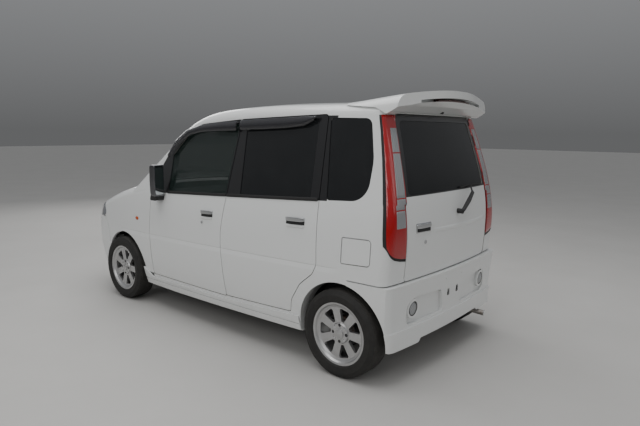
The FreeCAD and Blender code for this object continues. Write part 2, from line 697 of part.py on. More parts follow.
COWL_PLAN = [(1110, -500, 0), (1110, 500, 0), (930, 500, 0), (930, 575, 0), (860, 575, 0), (860, -575, 0), (930, -575, 0), (930, -500, 0)]
cowl_under = size["panel"] + 6
cowl = between(top_prism(COWL_PLAN, 700, 1200), nose(cowl_under, cowl_under, panel), nose(cowl_under + 6, cowl_under + 6, panel))
cowl = cowl.cut(cabin(0, 30, 0))
cowl_seat = nose(cowl_under + 6, cowl_under + 6 + SEAT, panel)
cowl = max(cowl.Solids, key=lambda solid: solid.Volume)
piece("cowl_panel", cowl)
piece("headlamps", Part.Compound(both(headlamp)))
grille_zone = block(1560, 1800, -374, 374, 650, 740)
louvres = [block(1560, 1800, -350, 350, z, z + 9).cut(nose(12, 12, 12)) for z in (664, 684, 704, 722)]
piece("grille", between(grille_zone, nose_skin, nose_hollow).cut(louvres))
BUMPER_SIDE = [(1340, 190, 10), (1900, 190, 0), (1900, 645, 0), (1700, 632, 0), (1400, 675, 20), (1330, 560, 40)]
bumper_side = side_prism(BUMPER_SIDE, -900, 900)
front_bumper = between(bumper_side, nose_skin, nose_hollow).cut(front_arch)
front_bumper = front_bumper.cut(block(1500, 1900, -420, 420, 240, 400))
piece("front_bumper", front_bumper)
fender_cut = [
    side_prism(grow(BUMPER_SIDE, gap), -900, 900), top_prism(grow(bonnet_plan, gap), 600, 1300),
    front_arch, side_prism(grow(LAMP_SIDE, gap), 376, 800),
]
fender_cut.append(top_prism([(600, 0, 0), (1100, 0, 0), (1100, 600, 0), (600, 600, 0)], 600, 1300))
fender_cut.append(cabin(-1, -1, 0).common(block(500, 1100, 0, 700, 900, 1300)).cut(block(500, 1100, 600, 900, 0, 960)))
FENDER_SIDE = [(625.3, 290, 0), (642.3, 887, 0), (642.3, 1000, 0), (1900, 1000, 0), (1900, 290, 0)]
fender = between(side_prism(FENDER_SIDE, 400, 900), nose_skin, nose_hollow).cut(fender_cut)
fender = max(fender.Solids, key=lambda solid: solid.Volume)
piece("front_fenders", Part.Compound(both(fender)))

# Side skirts below the doors
SKIRT = [(738, 184, 5), (760, 330, 5), (636, 262, 60), (-300, 275, 0), (-990, 306, 5), (-1003, 210, 5)]
SKIRT_GROOVE = [(800, 229, 0), (800, 237, 0), (-1100, 259, 0), (-1100, 251, 0)]
skirt = between(side_prism(SKIRT, 560, 900), cabin(-12, 0, 0), cabin(-SEAT, 0, 0))
skirt = skirt.cut(side_prism(SKIRT_GROOVE, 560, 900).cut(cabin(-6, 0, 0)))
piece("side_skirts", Part.Compound(both(skirt)))

# Roof spoiler: a hood over the back door that grows out of the roof. Its
# blade stands off a lower panel by a slot, and its ears end on the lamps.
HOOD = [(-1150, 1640, 42), (-1300, 1653, 42), (-1500, 1677, 44), (-1740, 1696, 46)]
HOOD_PROUD = 4
BLADE, SLOT = 44, 17
HOOD_PLAN = [
    (-1217, -660, 0), (-1217, 660, 0), (-1500, 660, 40), (-1578, 575, 55), (-1668, 130, 1100),
    (-1668, -130, 1100), (-1578, -575, 55), (-1500, -660, 40),
]
HOOD_SIDE = [
    (-1217, 1600, 0), (-1440, 1583, 60), (-1512, 1547, 4), (-1545, 1562, 20), (-1600, 1596, 80), (-1648, 1636, 6),
    (-1900, 1650, 0), (-1900, 1800, 0), (-1217, 1800, 0),
]


def hood(down):
    """raised roof surface of the spoiler, lowered by a distance"""
    wires = [section(x, top, sag, 2000, -HOOD_PROUD, down, 84) for x, top, sag in HOOD]
    return Part.makeLoft(wires, True, False, False, 3)


spoiler = side_prism(HOOD_SIDE, -700, 700).common(top_prism(HOOD_PLAN, 1500, 1800)).common(hood(0))
spoiler = spoiler.cut(block(-1900, -1400, -464, 464, 1500, 1556))
slot_room = block(-1900, -1590, -380, 380, 1560, 1700)
spoiler = spoiler.cut(slot_room.common(hood(BLADE)).cut(hood(BLADE + SLOT)))
spoiler = spoiler.cut(cabin(-SEAT, -SEAT, -SEAT))
spoiler = max(spoiler.Solids, key=lambda solid: solid.Volume)
piece("roof_spoiler", spoiler)

# The steering axis leans in from the ball joint to the strut's top
KINGPIN_LOW = Vec(front_axle, size["kingpin_y"], 185)
KINGPIN_TOP = Vec(front_axle, size["kingpin_y"] - 135, 760)
BALL_STUD = 9
STRUT_ROD = 10


def on_kingpin(z):
    """point of the left steering axis at height z"""
    return KINGPIN_LOW + (KINGPIN_TOP - KINGPIN_LOW) * ((z - KINGPIN_LOW.z) / (KINGPIN_TOP.z - KINGPIN_LOW.z))


# Pivot of the rear axle's trailing arms
TRAIL_PIVOT = Vec(rear_axle + 400, 500, 218)
TRAIL_PIN = 8

# Underbody: floor, tunnel, wheel houses, side rails, the frame that carries
# the nose panels, and the firewall, whose plenum lip carries the cowl panel
floor_z = size["floor_top"] - size["floor_sheet"]
inside = cabin(size["side_wall"] + SEAT, size["roof_wall"], size["side_wall"] + SEAT)
HOUSE_SHEET = 10
BOOT_FLOOR = 410
FLOOR = [
    (735, floor_z, 0), (735, size["floor_top"], 0), (-938, size["floor_top"], 0), (-938, BOOT_FLOOR, 0),
    (-1548, BOOT_FLOOR, 0), (-1548, BOOT_FLOOR - 12, 0), (-950, BOOT_FLOOR - 12, 0), (-950, floor_z, 0),
]
floor = side_prism(FLOOR, -800, 800)
FIREWALL = [
    (735, floor_z, 0), (735, 610, 0), (955, 610, 0), (955, 915, 0), (1040, 915, 0), (1040, 1010, 0), (1050, 1010, 0),
    (1050, 905, 0), (965, 905, 0), (965, 600, 0), (745, 600, 0), (745, floor_z, 0),
]
firewall = side_prism(FIREWALL, -560, 560).common(cowl_seat)
tunnel = block(-600, 735, -90, 90, size["floor_top"], 330)
floor = floor.common(inside)
houses, holes = [], []
for x, radius, y0, y1, low in (
    (rear_axle, size["rear_arch"], 535, 660, 330), (front_axle, size["front_arch"], 400, 625, floor_z),
):
    axle = Vec(x, across(y0), size["tyre_radius"])
    room = axle + Vec(0, HOUSE_SHEET, 0)
    drum = Part.makeCylinder(radius + 2 + HOUSE_SHEET, across(y1 - y0), axle, Vec(0, 1, 0))
    hole = Part.makeCylinder(radius + 2, across(400), room, Vec(0, 1, 0))
    box = Part.makeBox(800, 800, 1000, Vec(x - 400, 0, low))
    houses += both(drum.common(box).cut(hole).common(inside))
    holes += both(hole)
rails = both(block(735, 1600, 340, 392, 380, 450))
cross = block(1560, 1600, -392, 392, 300, 450)
nose_frame = between(block(980, 1720, 380, 800, 500, 720), nose(panel + SEAT, panel + SEAT, panel + SEAT), nose(panel + 14, panel + 14, panel + 14))
nose_beam = between(block(1500, 1720, -420, 420, 440, 720), nose(panel + SEAT, panel + SEAT, panel + SEAT), nose(panel + 14, panel + 14, panel + 14))
stays = both(block(1560, 1672, 340, 392, 440, 480))
mounts = [block(1300, 1380, 300 + SEAT, 345, 400, 450), block(1300, 1380, -345, -330 - SEAT, 400, 450)]
brackets = both(block(955, 983, 537, 549, 880, 963))
nose_room = nose(panel + SEAT, panel + SEAT, panel + SEAT)
ahead = [shape.common(nose_room) for shape in [cross] + rails + stays]
cheeks = []
for y in (TRAIL_PIVOT.y - 38, TRAIL_PIVOT.y + 28):
    cheeks += both(Part.makeBox(56, 10, floor_z + 2 - 188, Vec(TRAIL_PIVOT.x - 28, y, 188)))
underbody = floor.fuse(houses + [tunnel, firewall, nose_beam] + ahead + both(nose_frame) + mounts + brackets + cheeks)
underbody = underbody.cut(holes)
hinge_bore = rod(HOOD_PIN - Vec(0, 600, 0), HOOD_PIN + Vec(0, 600, 0), PIN + PIN_FIT)
underbody = max(underbody.Solids, key=lambda solid: solid.Volume).cut(hinge_bore)
trail_bore = rod(Vec(TRAIL_PIVOT.x, -600, TRAIL_PIVOT.z), Vec(TRAIL_PIVOT.x, 600, TRAIL_PIVOT.z), TRAIL_PIN + SEAT)
underbody = underbody.cut([trail_bore] + both(rod(on_kingpin(560), on_kingpin(640), STRUT_ROD + PIN_FIT)))
piece("underbody", underbody)


# Wheels: tyre and seven-spoke alloy rim, each turned about its own axle and
# placed at its hub. The rim has four stud holes on a 100 mm circle.
RADIUS, HALF, LIP = "Sizes.tyre_radius", "Sizes.tyre_width / 2", "Sizes.rim_radius"
TYRE = [
    (f"{LIP} - 10", "-66"), (f"{LIP} + 0.3", "-66"), (f"{LIP} + 0.3", "-72"), (f"{LIP} + 8", f"4 - {HALF}"),
    (f"{RADIUS} - 34", f"-{HALF}"), (f"{RADIUS} - 4", f"14 - {HALF}"), (RADIUS, f"34 - {HALF}"), (RADIUS, f"{HALF} - 34"),
    (f"{RADIUS} - 4", f"{HALF} - 14"), (f"{RADIUS} - 34", HALF), (f"{LIP} + 8", f"{HALF} - 4"), (f"{LIP} + 0.3", "72"),
    (f"{LIP} + 0.3", "63.7"), (f"{LIP} - 10", "63.7"),
]
RIM = [
    (f"{LIP} - 10.3", "-62"), (f"{LIP} - 10.3", "64"), (LIP, "64"), (LIP, "70"), (f"{LIP} - 12", "67"),
    (f"{LIP} - 20", "56"), (f"{LIP} - 34", "48"), ("64", "44"), ("58", "52"), ("30", "54"), ("30", "60"), ("0", "60"),
    ("0", "20"), ("64", "20"), (f"{LIP} - 44", "30"), (f"{LIP} - 26", "16"), (f"{LIP} - 20", "-60"),
]
WINDOW = [(72, -9, 6), (150, -41, 12), (150, 41, 12), (72, 9, 6)]
STUD_CIRCLE, STUD_HOLE = 50, 10
SPOKES, STUDS = 7, 4
WHEELS = {
    "front_left": ("Sizes.body_length / 2 - Sizes.front_overhang", "Sizes.front_track / 2", 0),
    "front_right": ("Sizes.body_length / 2 - Sizes.front_overhang", "-Sizes.front_track / 2", 180),
    "rear_left": ("Sizes.body_length / 2 - Sizes.front_overhang - Sizes.wheelbase", "Sizes.rear_track / 2", 0),
    "rear_right": ("Sizes.body_length / 2 - Sizes.front_overhang - Sizes.wheelbase", "-Sizes.rear_track / 2", 180),
}
for place, (x, y, turn_round) in WHEELS.items():
    tyre, tyre_turn = turned(f"tyre_{place}", TYRE)
    rim, rim_turn = turned(f"rim_{place}", RIM)
    window = rounded_sketch(rim, f"window_{place}", "XZ_Plane", WINDOW)
    pocket_ring(rim, window, SPOKES, 0)
    stud = plane_sketch(rim, f"stud_{place}", "XZ_Plane")
    stud.addGeometry(Part.Circle(Vec(0, STUD_CIRCLE, 0), Vec(0, 0, 1), STUD_HOLE), False)
    pocket_ring(rim, stud, STUDS, 0)
    for body in (tyre, rim):
        body.Placement = FreeCAD.Placement(Vec(), FreeCAD.Rotation(Vec(0, 0, 1), turn_round))
        body.setExpression(".Placement.Base.x", x)
        body.setExpression(".Placement.Base.y", y)
        body.setExpression(".Placement.Base.z", "Sizes.tyre_radius")
        nodes.append(body)


# Front knuckles: hub, brake disc, upright and strut on the steering axis
hub_face = size["front_track"] / 2 + 19.7
axle = Vec(front_axle, 0, size["tyre_radius"])
DISC_RADIUS, DISC_BACK, STUB_END = 118, 34, 575
knuckle = fused("knuckle_left", [
    bar("brake_disc", axle + Vec(0, hub_face - DISC_BACK, 0), axle + Vec(0, hub_face - 14, 0), DISC_RADIUS),
    bar("disc_bell", axle + Vec(0, hub_face - DISC_BACK, 0), axle + Vec(0, hub_face, 0), 66),
    bar("stub_axle", axle + Vec(0, STUB_END, 0), axle + Vec(0, hub_face - DISC_BACK, 0), 34),
    bar("upright", KINGPIN_LOW, on_kingpin(400), 20),
    bar("strut", on_kingpin(390), on_kingpin(575), 23),
    bar("ball_stud", on_kingpin(152), on_kingpin(190), BALL_STUD),
    bar("strut_rod", on_kingpin(570), on_kingpin(606), STRUT_ROD),
])
nodes += [knuckle, flipped("knuckle_right", knuckle)]

# Front suspension on the body: cross member and lower arms
ARM_PLAN = [(980, 250, 0), (1130, 250, 0), (1068, 600, 0), (1037, 600, 0)]
ARM_LOW, ARM_TOP = 150, 172
arm = top_prism(ARM_PLAN, ARM_LOW, ARM_TOP)
arm = arm.fuse(rod(Vec(front_axle, on_kingpin(160).y, ARM_LOW), Vec(front_axle, on_kingpin(160).y, ARM_TOP), 17))
arm = arm.cut(rod(on_kingpin(140), on_kingpin(180), BALL_STUD + PIN_FIT))
tower = block(1000, 1060, 342, 386, 165, 380 - SEAT)
suspension = block(960, 1130, -300, 300, 150, 215).fuse(both(arm) + both(tower))
piece("front_suspension", suspension)

# Rear torsion beam axle with its drums, on two trailing arms
hub_end = size["rear_track"] / 2
AXLE_Z, BEAM_X = size["tyre_radius"], rear_axle + 90
half = fused("rear_arm", [
    bar("brake_drum", Vec(rear_axle, hub_end - 25.3, AXLE_Z), Vec(rear_axle, hub_end + 19.7, AXLE_Z), 95),
    bar("rear_stub", Vec(rear_axle, 470, AXLE_Z), Vec(rear_axle, hub_end - 20, AXLE_Z), 30),
    bar("trailing_arm", Vec(rear_axle, 500, AXLE_Z), TRAIL_PIVOT, 22),
    bar("arm_eye", TRAIL_PIVOT - Vec(0, 25, 0), TRAIL_PIVOT + Vec(0, 25, 0), 26),
    bar("arm_pin", TRAIL_PIVOT - Vec(0, 40, 0), TRAIL_PIVOT + Vec(0, 40, 0), TRAIL_PIN),
])
beam = bar("torsion_beam", Vec(BEAM_X, -500, AXLE_Z), Vec(BEAM_X, 500, AXLE_Z), 32)
nodes.append(fused("rear_axle", [beam, half, flipped("rear_arm_right", half)]))

# Engine with gearbox, as one plain block ahead of the firewall
ENGINE = (400, 630, 460)
engine = doc.addObject("Part::Box", "engine_block")
engine.Length, engine.Width, engine.Height = ENGINE
engine.Placement.Base = Vec(0, -330, 240)
engine.setExpression(".Placement.Base.x", "Sizes.body_length / 2 - Sizes.front_overhang + 87.5")
engine.Label = "engine_block"
nodes.append(engine)

# Fuel tank under the rear seat, with rounded upright corners
tank_box = doc.addObject("Part::Box", "tank_box")
tank_box.Length, tank_box.Width = 420, 525
tank_box.Placement.Base = Vec(-900, -95, 172)
tank_box.setExpression("Height", f"Sizes.floor_top - Sizes.floor_sheet - {SEAT} - 172")
doc.recompute()
tank = doc.addObject("Part::Fillet", "fuel_tank")
tank.Base = tank_box
upright = [i for i, edge in enumerate(tank_box.Shape.Edges, 1) if abs(edge.tangentAt(0).z) > 0.9]
tank.Edges = [(i, 45, 45) for i in upright]
tank.Label = "fuel_tank"
nodes.append(tank)

# Exhaust: pipe along the tunnel, cross silencer, tail pipe at the right
PIPE = Vec(-1290, -140, 205)
exhaust = [
    bar("silencer", Vec(-1480, -420, 260), Vec(-1480, 60, 260), 72),
    bar("front_pipe", Vec(955, -140, 205), PIPE, 22),
    bar("pipe_rise", PIPE, Vec(-1430, -140, 250), 22),
    bar("tail_pipe", Vec(-1480, -400, 220), Vec(-1690, -470, 182), 18),
]
elbow = doc.addObject("Part::Sphere", "pipe_elbow")
elbow.Radius = 22
elbow.Placement.Base = PIPE
exhaust.append(elbow)
for x, y, low, high in (
    (-1490, -380, 320, BOOT_FLOOR - 12 - SEAT), (-1490, 10, 320, BOOT_FLOOR - 12 - SEAT), (-460, -150, 220, floor_z - SEAT),
):
    exhaust.append(brick("hanger", Vec(x, y, low), Vec(x + 20, y + 20, high)))
nodes.append(fused("exhaust", exhaust))

# Dashboard, steering wheel and seats
DASH = [(725, 640, 20), (955 - SEAT, 640, 20), (955 - SEAT, 900, 20), (780, 945, 60), (600, 900, 60), (600, 760, 40)]
wheel_centre = Vec(along(470), across(-340), above(890))
column_way = Vec(math.sin(math.radians(62)), 0, -math.cos(math.radians(62)))
dash = side_prism(DASH, -565, 565).cut(rod(wheel_centre, wheel_centre + column_way * 200, 22 + PIN_FIT))
piece("dashboard", dash)
wheel_turn = FreeCAD.Placement(wheel_centre, FreeCAD.Rotation(Vec(0, 1, 0), -62))
wheel_rim = doc.addObject("Part::Torus", "wheel_rim")
wheel_rim.setExpression("Radius1", "Sizes.steering_radius")
wheel_rim.Radius2 = 15
wheel_rim.Placement = wheel_turn
cross_spoke = doc.addObject("Part::Box", "cross_spoke")
cross_spoke.setExpression("Length", "Sizes.steering_radius * 2")
cross_spoke.Width, cross_spoke.Height = 34, 12
cross_spoke.Placement = wheel_turn * FreeCAD.Placement(Vec(-size["steering_radius"], -17, -6), FreeCAD.Rotation())
lower_spoke = doc.addObject("Part::Box", "lower_spoke")
lower_spoke.setExpression("Length", "Sizes.steering_radius")
lower_spoke.Width, lower_spoke.Height = 40, 12
lower_spoke.Placement = wheel_turn * FreeCAD.Placement(Vec(0, -20, -6), FreeCAD.Rotation())
wheel_boss = bar("wheel_boss", wheel_centre - column_way * 20, wheel_centre + column_way * 20, 60)
column = bar("column", wheel_centre + column_way * 10, wheel_centre + column_way * 180, 22)
nodes.append(fused("steering_wheel", [wheel_rim, cross_spoke, lower_spoke, wheel_boss, column]))


def seat(x, y0, y1):
    """cushion, back and head restraint in side view, full width"""
    cushion = [(x - 60, 330, 30), (x - 60, 590, 60), (x + 440, 620, 60), (x + 430, 480, 40), (x + 300, 330, 40)]
    back = [(x - 66, 500, 30), (x - 330, 1230, 40), (x - 240, 1250, 40), (x + 60, 600, 30)]
    head = [(x - 330, 1265, 40), (x - 370, 1440, 40), (x - 275, 1450, 40), (x - 235, 1275, 40)]
    middle = (y0 + y1) / 2
    solids = side_prism(cushion, y0, y1).fuse(side_prism(back, y0, y1))
    posts = side_prism([(x - 300, 1200, 0), (x - 320, 1300, 0), (x - 305, 1300, 0), (x - 285, 1200, 0)], middle - 60, middle + 60)
    return solids.fuse([side_prism(head, middle - 130, middle + 130), posts])


front = seat(60, 85, 85 + size["seat_width"])
piece("front_seats", Part.Compound(both(front)))
bench = seat(-860, -515, 515)
piece("rear_seat", bench)

# Door mirrors: a tall head on a short foot, carried by the front doors
MIRROR_SIDE = [(425, 938, 20), (480, 938, 25), (502, 1060, 200), (486, 1180, 30), (440, 1190, 25)]
MIRROR_PLAN = [(420, 742, 15), (420, 832, 12), (452, 838, 30), (505, 806, 40), (505, 742, 15)]
MIRROR_FOOT = [(452, 905, 10), (530, 905, 10), (516, 950, 10), (452, 950, 10)]
head = side_prism(MIRROR_SIDE, 735, 850).common(top_prism(MIRROR_PLAN, 900, 1250))
foot = side_prism(MIRROR_FOOT, 680, 770)
mirror = head.fuse(foot).cut(skin)
mirror = max(mirror.Solids, key=lambda solid: solid.Volume)
piece("mirror_left", mirror)
piece("mirror_right", mirrored(mirror))

# Fuel filler lid on the left rear quarter
lid = between(side_prism(LID, 500, 900), skin, cabin(6, 6, 6)).fuse(lid_eye)
lid = lid.cut(Part.makeCylinder(2.8, 70, lid_pin - Vec(0, 0, 35)))
piece("fuel_lid", lid)

# Rear wiper on the back door and the round lamps in the rear bumper
pivot = Vec(-1668, -47, 958)
wiper = rod(pivot + Vec(12, 0, 0), pivot + Vec(-30, 0, 0), 16)
wiper = wiper.fuse(rod(pivot + Vec(-22, 0, 0), Vec(-1684, -200, 1073), 7))
piece("rear_wiper", wiper.cut(cabin(-SEAT, -SEAT, -SEAT)))
bumper_lamp = Part.makeCylinder(LAMP_RADIUS, 600, lamp_axis, Vec(1, 0, 0))
bumper_lamp = between(bumper_lamp, cabin(-4, 0, -BUMPER_PROUD + 6), cabin(panel - 4, 0, panel - 24))
bumper_lamp = min(bumper_lamp.Solids, key=lambda solid: solid.CenterOfMass.x)
piece("bumper_lamps", Part.Compound(both(bumper_lamp)))

doc.recompute()
os.makedirs("parts", exist_ok=True)
for item in nodes:
    if {"Invalid", "Error"} & set(item.State):
        raise RuntimeError(f"{item.Label} did not compute")
    if item.Shape.isNull() or not item.Shape.isValid() or not item.Shape.Solids:
        raise RuntimeError(f"{item.Label} has no valid solid")
    item.Shape.exportStep(f"parts/{item.Label}.step")
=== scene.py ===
import math

import bmesh
import bpy
from mathutils import Matrix, Vector
from mathutils.bvhtree import BVHTree


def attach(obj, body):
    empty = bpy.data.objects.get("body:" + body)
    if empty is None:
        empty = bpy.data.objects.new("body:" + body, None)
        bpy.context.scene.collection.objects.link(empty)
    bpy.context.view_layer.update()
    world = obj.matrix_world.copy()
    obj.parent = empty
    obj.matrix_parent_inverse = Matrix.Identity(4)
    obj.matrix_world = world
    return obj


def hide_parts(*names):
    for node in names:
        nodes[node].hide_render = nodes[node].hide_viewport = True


# A tall white five-door kei car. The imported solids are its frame, in metres:
# +X forward, +Y the car's left, +Z up, the floor at z = 0.
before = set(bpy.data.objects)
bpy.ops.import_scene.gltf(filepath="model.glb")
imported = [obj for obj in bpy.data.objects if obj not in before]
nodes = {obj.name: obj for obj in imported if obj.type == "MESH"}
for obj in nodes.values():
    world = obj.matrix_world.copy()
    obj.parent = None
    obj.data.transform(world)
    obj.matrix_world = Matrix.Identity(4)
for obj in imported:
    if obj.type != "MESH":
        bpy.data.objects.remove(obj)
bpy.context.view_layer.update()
LEFT, RIGHT = 1, -1
SIDES = (("left", LEFT), ("right", RIGHT))

# Camera: a person's eye level behind the car's left rear corner, on a plain
# zoom lens. The photograph's frame is 640 by 426.
EYE = Vector((-3.197, 3.112, 1.4476))
HEADING, PITCH, ROLL = -0.86731, -0.14954, 0.00906
FOCAL_PIXELS, FRAME_WIDTH = 542.7, 640
bpy.ops.object.camera_add()
camera = bpy.context.object
camera.name = "camera"
camera.data.sensor_width = 36
camera.data.lens = 36 * FOCAL_PIXELS / FRAME_WIDTH
camera.matrix_world = (
    Matrix.Translation(EYE)
    @ Matrix.Rotation(HEADING - math.pi / 2, 4, "Z")
    @ Matrix.Rotation(math.pi / 2 + PITCH, 4, "X")
    @ Matrix.Rotation(ROLL, 4, "Z")
)
bpy.context.scene.camera = camera

# Studio: a pale floor, one wide soft light overhead and three soft boxes, in
# front of a grey wall of light that keeps the glass dark.


def add_node(tree, kind, inputs=(), **settings):
    """new node with its settings, and its inputs set or linked by name"""
    made = tree.nodes.new(kind)
    for key, value in settings.items():
        setattr(made, key, value)
    for key, value in dict(inputs).items():
        if isinstance(value, bpy.types.NodeSocket):
            tree.links.new(value, made.inputs[key])
        else:
            made.inputs[key].default_value = value
    return made


def calc(tree, operation, *values, clamp=False):
    """result of a Math node fed with numbers or sockets"""
    inputs = dict(enumerate(values))
    return add_node(tree, "ShaderNodeMath", inputs, operation=operation, use_clamp=clamp).outputs[0]


def new_material(name, inputs=()):
    """material with a Principled shader whose sockets are set by name"""
    made = bpy.data.materials.new(name)
    made.use_nodes = True
    shader = made.node_tree.nodes["Principled BSDF"]
    for key, value in dict(inputs).items():
        shader.inputs[key].default_value = value
    return made, made.node_tree, shader


def blend_colours(tree, factor, first, second):
    """colour output of a Mix node"""
    mix = add_node(tree, "ShaderNodeMix", data_type="RGBA")
    for socket, value in ((mix.inputs[0], factor), (mix.inputs[6], first), (mix.inputs[7], second)):
        if isinstance(value, bpy.types.NodeSocket):
            tree.links.new(value, socket)
        else:
            socket.default_value = value
    return mix.outputs[2]


def separate(tree):
    """place, x, y and z outputs of the piece's own coordinates"""
    place = add_node(tree, "ShaderNodeTexCoord").outputs["Object"]
    spot = add_node(tree, "ShaderNodeSeparateXYZ", {0: place})
    return place, spot.outputs["X"], spot.outputs["Y"], spot.outputs["Z"]


def feed(node, socket, value):
    """link an output into a node's named socket"""
    node.id_data.links.new(value, node.inputs[socket])


def noise(tree, place, scale, detail, roughness=0.5):
    """0 to 1 output of a Noise node"""
    inputs = {"Vector": place, "Scale": scale, "Detail": detail, "Roughness": roughness}
    return add_node(tree, "ShaderNodeTexNoise", inputs).outputs["Fac"]


def relief(tree, shader, height, distance):
    """bump normal from a height in units of distance"""
    bump = add_node(tree, "ShaderNodeBump", {"Height": height, "Strength": 1.0, "Distance": distance})
    feed(shader, "Normal", bump.outputs["Normal"])


FLOOR_SIZE = 90
world = bpy.data.worlds.new("studio_world")
world.use_nodes = True
bpy.context.scene.world = world
backdrop = world.node_tree.nodes["Background"]
direction = add_node(world.node_tree, "ShaderNodeTexCoord")
height = add_node(world.node_tree, "ShaderNodeSeparateXYZ", {0: direction.outputs["Generated"]})
shade = add_node(world.node_tree, "ShaderNodeValToRGB", {"Fac": height.outputs["Z"]})
shade.color_ramp.elements[0].position = 0.0
shade.color_ramp.elements[0].color = (0.30, 0.305, 0.31, 1)
shade.color_ramp.elements[1].position = 0.5
shade.color_ramp.elements[1].color = (0.9, 0.92, 0.95, 1)
feed(backdrop, "Color", shade.outputs["Color"])
backdrop.inputs["Strength"].default_value = 0.42

bpy.ops.mesh.primitive_plane_add(size=FLOOR_SIZE)
floor = bpy.context.object
floor.name = "studio_floor"
floor_paint, tree, shader = new_material("floor_paint", {"Roughness": 0.75, "Specular IOR Level": 0.25})
place, x, y, z = separate(tree)
mottle = noise(tree, place, 1.3, 6, 0.6)
tint = blend_colours(tree, mottle, (0.47, 0.46, 0.44, 1), (0.55, 0.54, 0.52, 1))
feed(shader, "Base Color", tint)
grit = noise(tree, place, 60, 4)
relief(tree, shader, grit, 0.0004)
floor.data.materials.append(floor_paint)

for name, spot, aim, size, power in (
    ("overhead", (-0.4, 0.6, 5.2), (0, 0, 0.6), 6.0, 195),
    ("left_box", (-2.2, 6.4, 3.6), (-0.3, 0, 0.8), 3.6, 88),
    ("tail_box", (-6.6, -1.2, 3.0), (-1.4, 0, 0.9), 3.0, 24),
    ("nose_box", (6.0, -2.0, 3.6), (1.2, 0, 0.8), 3.5, 85),
):
    bpy.ops.object.light_add(type="AREA", location=spot)
    lamp = bpy.context.object
    lamp.name = name
    lamp.data.shape = "DISK"
    lamp.data.size = size
    lamp.data.energy = power
    lamp.rotation_euler = (Vector(aim) - Vector(spot)).to_track_quat("-Z", "Y").to_euler()

# Bodywork: pressed steel and moulded bumpers in one white two-coat paint with
# a clear lacquer. Road dust lies on the lowest panels. The pressed ledge along
# the flanks is too shallow for the solids, so the paint's bump carries it.
PAINT_WHITE = (0.76, 0.77, 0.76, 1)
FILM_BLACK = (0.010, 0.010, 0.011, 1)
LINING_GREY = (0.30, 0.29, 0.27, 1)
DUST_GREY = (0.36, 0.33, 0.29, 1)
LEDGE_HEIGHT, LEDGE_SLOPE = 0.628, -0.022
LEDGE_DROP, LEDGE_DEPTH, GROOVE_LIFT, GROOVE_HALF = 0.034, 0.006, 0.002, 0.006
LEDGE_REAR, LEDGE_FRONT, LEDGE_SIDE = (-1.34, -1.20), (1.30, 0.95), (0.60, 0.66)
FILM_FOOT, FILM_SLOPE = 0.984, -0.05
PILLAR_TOP, PILLAR_REAR, PILLAR_FRONT = 1.541, -1.186, -1.02
BACK_GLASS_FOOT = 1.087


def new_group(name, inputs=(), outputs=()):
    """empty shader node group with named sockets; gives tree, in and out nodes"""
    made = bpy.data.node_groups.new(name, "ShaderNodeTree")
    for socket, kind, value in inputs:
        item = made.interface.new_socket(socket, in_out="INPUT", socket_type=kind)
        item.default_value = value
    for socket, kind in outputs:
        made.interface.new_socket(socket, in_out="OUTPUT", socket_type=kind)
    return made, made.nodes.new("NodeGroupInput"), made.nodes.new("NodeGroupOutput")


def ramp(tree, value, low, high):
    """smooth 0 to 1 as a value goes from low to high"""
    made = add_node(tree, "ShaderNodeMapRange", {"Value": value, "From Min": low, "From Max": high})
    made.interpolation_type = "SMOOTHSTEP"
    return made.outputs["Result"]


dusting, come, go = new_group(
    "road_dust",
    [("Colour", "NodeSocketColor", PAINT_WHITE), ("Dust Colour", "NodeSocketColor", DUST_GREY),
     ("Clean Roughness", "NodeSocketFloat", 0.2), ("Dust Top", "NodeSocketFloat", 0.5),
     ("Amount", "NodeSocketFloat", 0.4)],
    [("Colour", "NodeSocketColor"), ("Roughness", "NodeSocketFloat")],
)
place, x, y, z = separate(dusting)
cloud = noise(dusting, place, 9, 8, 0.65)
reach = calc(dusting, "SUBTRACT", come.outputs["Dust Top"], z)
reach = calc(dusting, "DIVIDE", reach, come.outputs["Dust Top"], clamp=True)
mask = calc(dusting, "MULTIPLY", calc(dusting, "POWER", reach, 1.5), cloud)
mask = calc(dusting, "MULTIPLY", calc(dusting, "MULTIPLY", mask, 2.0), come.outputs["Amount"], clamp=True)
dusted = blend_colours(dusting, mask, come.outputs["Colour"], come.outputs["Dust Colour"])
feed(go, "Colour", dusted)
rough = calc(dusting, "MULTIPLY", mask, 0.5)
rough = calc(dusting, "ADD", come.outputs["Clean Roughness"], rough, clamp=True)
feed(go, "Roughness", rough)

flank_press, come, go = new_group(
    "flank_pressing", [("Depth", "NodeSocketFloat", LEDGE_DEPTH)], [("Normal", "NodeSocketVector")],
)
place, x, y, z = separate(flank_press)
ledge = calc(flank_press, "MULTIPLY_ADD", x, LEDGE_SLOPE, LEDGE_HEIGHT)
below = calc(flank_press, "SUBTRACT", ledge, z)
step = ramp(flank_press, below, 0.0, LEDGE_DROP)
groove = calc(flank_press, "ABSOLUTE", calc(flank_press, "ADD", below, GROOVE_LIFT))
groove = calc(flank_press, "SUBTRACT", 1.0, calc(flank_press, "DIVIDE", groove, GROOVE_HALF), clamp=True)
shape = calc(flank_press, "SUBTRACT", step, calc(flank_press, "MULTIPLY", groove, 0.35))
ends = calc(flank_press, "MULTIPLY", ramp(flank_press, x, *LEDGE_REAR), ramp(flank_press, x, *LEDGE_FRONT))
off_middle = ramp(flank_press, calc(flank_press, "ABSOLUTE", y), *LEDGE_SIDE)
shape = calc(flank_press, "MULTIPLY", shape, calc(flank_press, "MULTIPLY", ends, off_middle))
peel = noise(flank_press, place, 420, 1)
level = calc(flank_press, "MULTIPLY", shape, come.outputs["Depth"])
level = calc(flank_press, "ADD", level, calc(flank_press, "MULTIPLY", peel, 0.00002))
bump = add_node(flank_press, "ShaderNodeBump", {"Height": level, "Strength": 1.0, "Distance": 1.0})
feed(go, "Normal", bump.outputs["Normal"])


